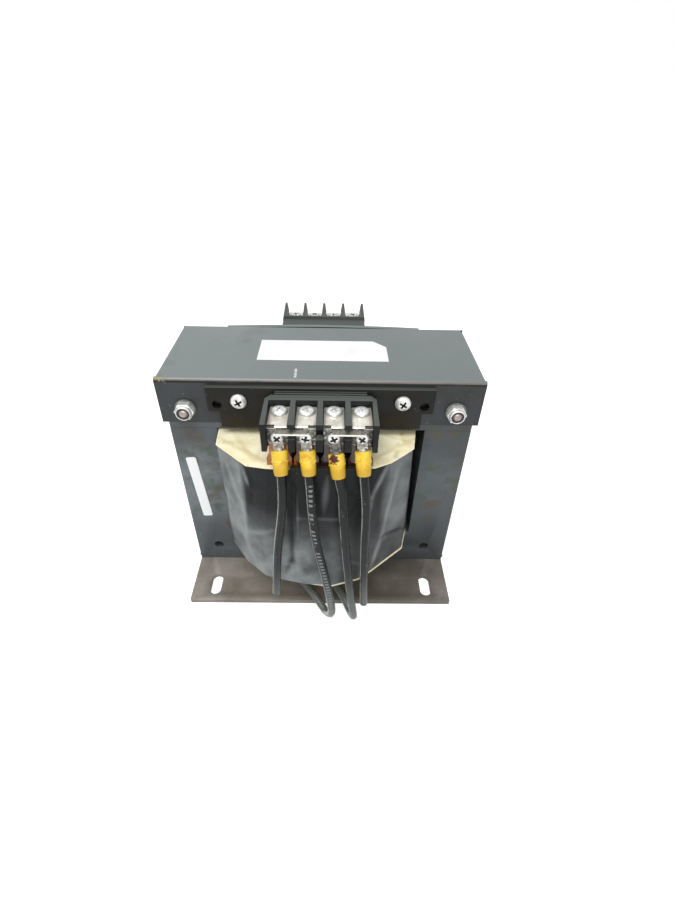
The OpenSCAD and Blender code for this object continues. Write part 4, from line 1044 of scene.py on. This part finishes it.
def closeCorners(obj):
    # the front and rear skirts run out to the cover's corners, past the bend reliefs
    corner = coverCorner
    for v in obj.data.vertices:
        x, y, z = v.co / mm
        if abs(y) > corner["topY"] and abs(abs(x) - corner["reliefX"]) < corner["within"]:
            inBend = abs(y) > corner["bendY"] or z < corner["bendZ"]
            v.co.x = math.copysign(corner["skirtX" if inBend else "topX"] * mm, x)
    obj.data.update()


def raiseRearBracket(obj):
    # the rear bracket sits a little higher than the front one, and its top edge is bowed
    for x in rearBracket["cuts"]:
        editAll(obj)
        bpy.ops.mesh.bisect(plane_co=(x * mm, 0, 0), plane_no=(1, 0, 0))
        objectMode()
    for v in obj.data.vertices:
        if v.co.z > rearBracket["above"] * mm:
            toEnd = v.co.x / (rearBracket["halfWidth"] * mm)
            v.co.z += (rearBracket["lift"] + rearBracket["bow"] * (1 - toEnd ** 2)) * mm
    obj.data.update()


softPieces = {
    # node: edge width in mm, its segments, material, and what else shapes it
    "front_foot": (0.35, 2, footSteel),
    "rear_foot": (0.35, 2, footSteel),
    "weld_beads": (0.3, 2, weldSteel),
    "e_laminations": (0.25, 2, coreSteel),
    "i_laminations": (0.25, 2, coreSteel),
    "top_cover": (0.3, 2, coverSteel, closeCorners),
    "stud_washers": (0.15, 2, washerSteel),
    "lock_nuts": (0.35, 3, zincPlate),
    "core_studs": (0.75, 1, studSteel),
    "nut_inserts": (0.12, 2, nylon),
    "front_bracket": (0.3, 2, bracketSteel),
    "rear_bracket": (0.3, 2, coverSteel, raiseRearBracket),
    "front_block": (0.22, 2, phenolic),
    "rear_block": (0.22, 2, phenolic),
    "front_terminals": (0.12, 2, tinPlate),
    "rear_terminals": (0.12, 2, tinPlate),
    "jumper_links": (0.16, 2, linkTin),
    "front_lead_outs": (0.2, 2, amberFilm),
    "rear_lead_outs": (0.15, 2, amberFilm),
}
for node, (width, segments, material, *shape) in softPieces.items():
    seat(softCopy(node, width, segments, *shape), node, material)

# Inner pieces and labels keep the frame's own shape
for node, material in (("coil_tube", fibreBoard), ("primary_winding", copperWire),
                       ("winding_barrier", paper), ("top_label", labelStock), ("side_label", labelStock)):
    nodes[node].data.materials.clear()
    nodes[node].data.materials.append(material)
print("formed pieces made")

# Floor, backdrop and light; places and sizes in metres
studio = {
    "floor": 40.0, "floorTone": "F2F3F3", "floorRoughness": 0.9, "floorGlow": 0.52,
    "fill": 0.55, "aim": (0, 0, 0.07),
    # lamp: place, size, power in watts
    "lamps": {"keyLight": ((-0.22, -0.42, 1.2), 0.7, 11.0), "frontLight": ((0.3, -1.2, 0.65), 0.8, 4.5)},
}


def makeStudio():
    clearSelection()
    bpy.ops.mesh.primitive_plane_add(size=studio["floor"], location=(0, 0, cadLow.z))
    floor = bpy.context.object
    floor.name = "floor"
    material = bpy.data.materials.new("studioFloor")
    material.use_nodes = True
    tree = material.node_tree
    surface = tree.nodes["Principled BSDF"]
    surface.inputs["Base Color"].default_value = colour(studio["floorTone"])
    surface.inputs["Roughness"].default_value = studio["floorRoughness"]
    seen = times(tree, addNode(tree, "LightPath", out="Is Camera Ray"), studio["floorGlow"])
    surface.inputs["Emission Color"].default_value = white
    tree.links.new(seen, surface.inputs["Emission Strength"])
    floor.data.materials.append(material)
    # the backdrop is white to the camera and in reflections, and dimmer as a light
    world = bpy.data.worlds.new("studio")
    bpy.context.scene.world = world
    world.use_nodes = True
    tree = world.node_tree
    background = tree.nodes["Background"]
    rays = addNode(tree, "LightPath", out=None)
    seen = rays["Is Camera Ray"]
    for ray in ("Is Glossy Ray", "Is Transmission Ray"):
        seen = addNode(tree, "Math", {0: seen, 1: rays[ray]}, operation="MAXIMUM")
    background.inputs[0].default_value = white
    tree.links.new(addNode(tree, "MapRange", {0: seen, 3: studio["fill"]}), background.inputs[1])
    for name, (at, size, power) in studio["lamps"].items():
        bpy.ops.object.light_add(type="AREA", location=at)
        lamp = bpy.context.object
        lamp.name = name
        lamp.data.size = size
        lamp.data.energy = power
        aim = Vector(studio["aim"]) - Vector(at)
        lamp.rotation_euler = aim.to_track_quat("-Z", "Y").to_euler()


makeStudio()
bpy.context.scene.view_settings.view_transform = "Standard"

bpy.context.view_layer.update()
print("scene finished")
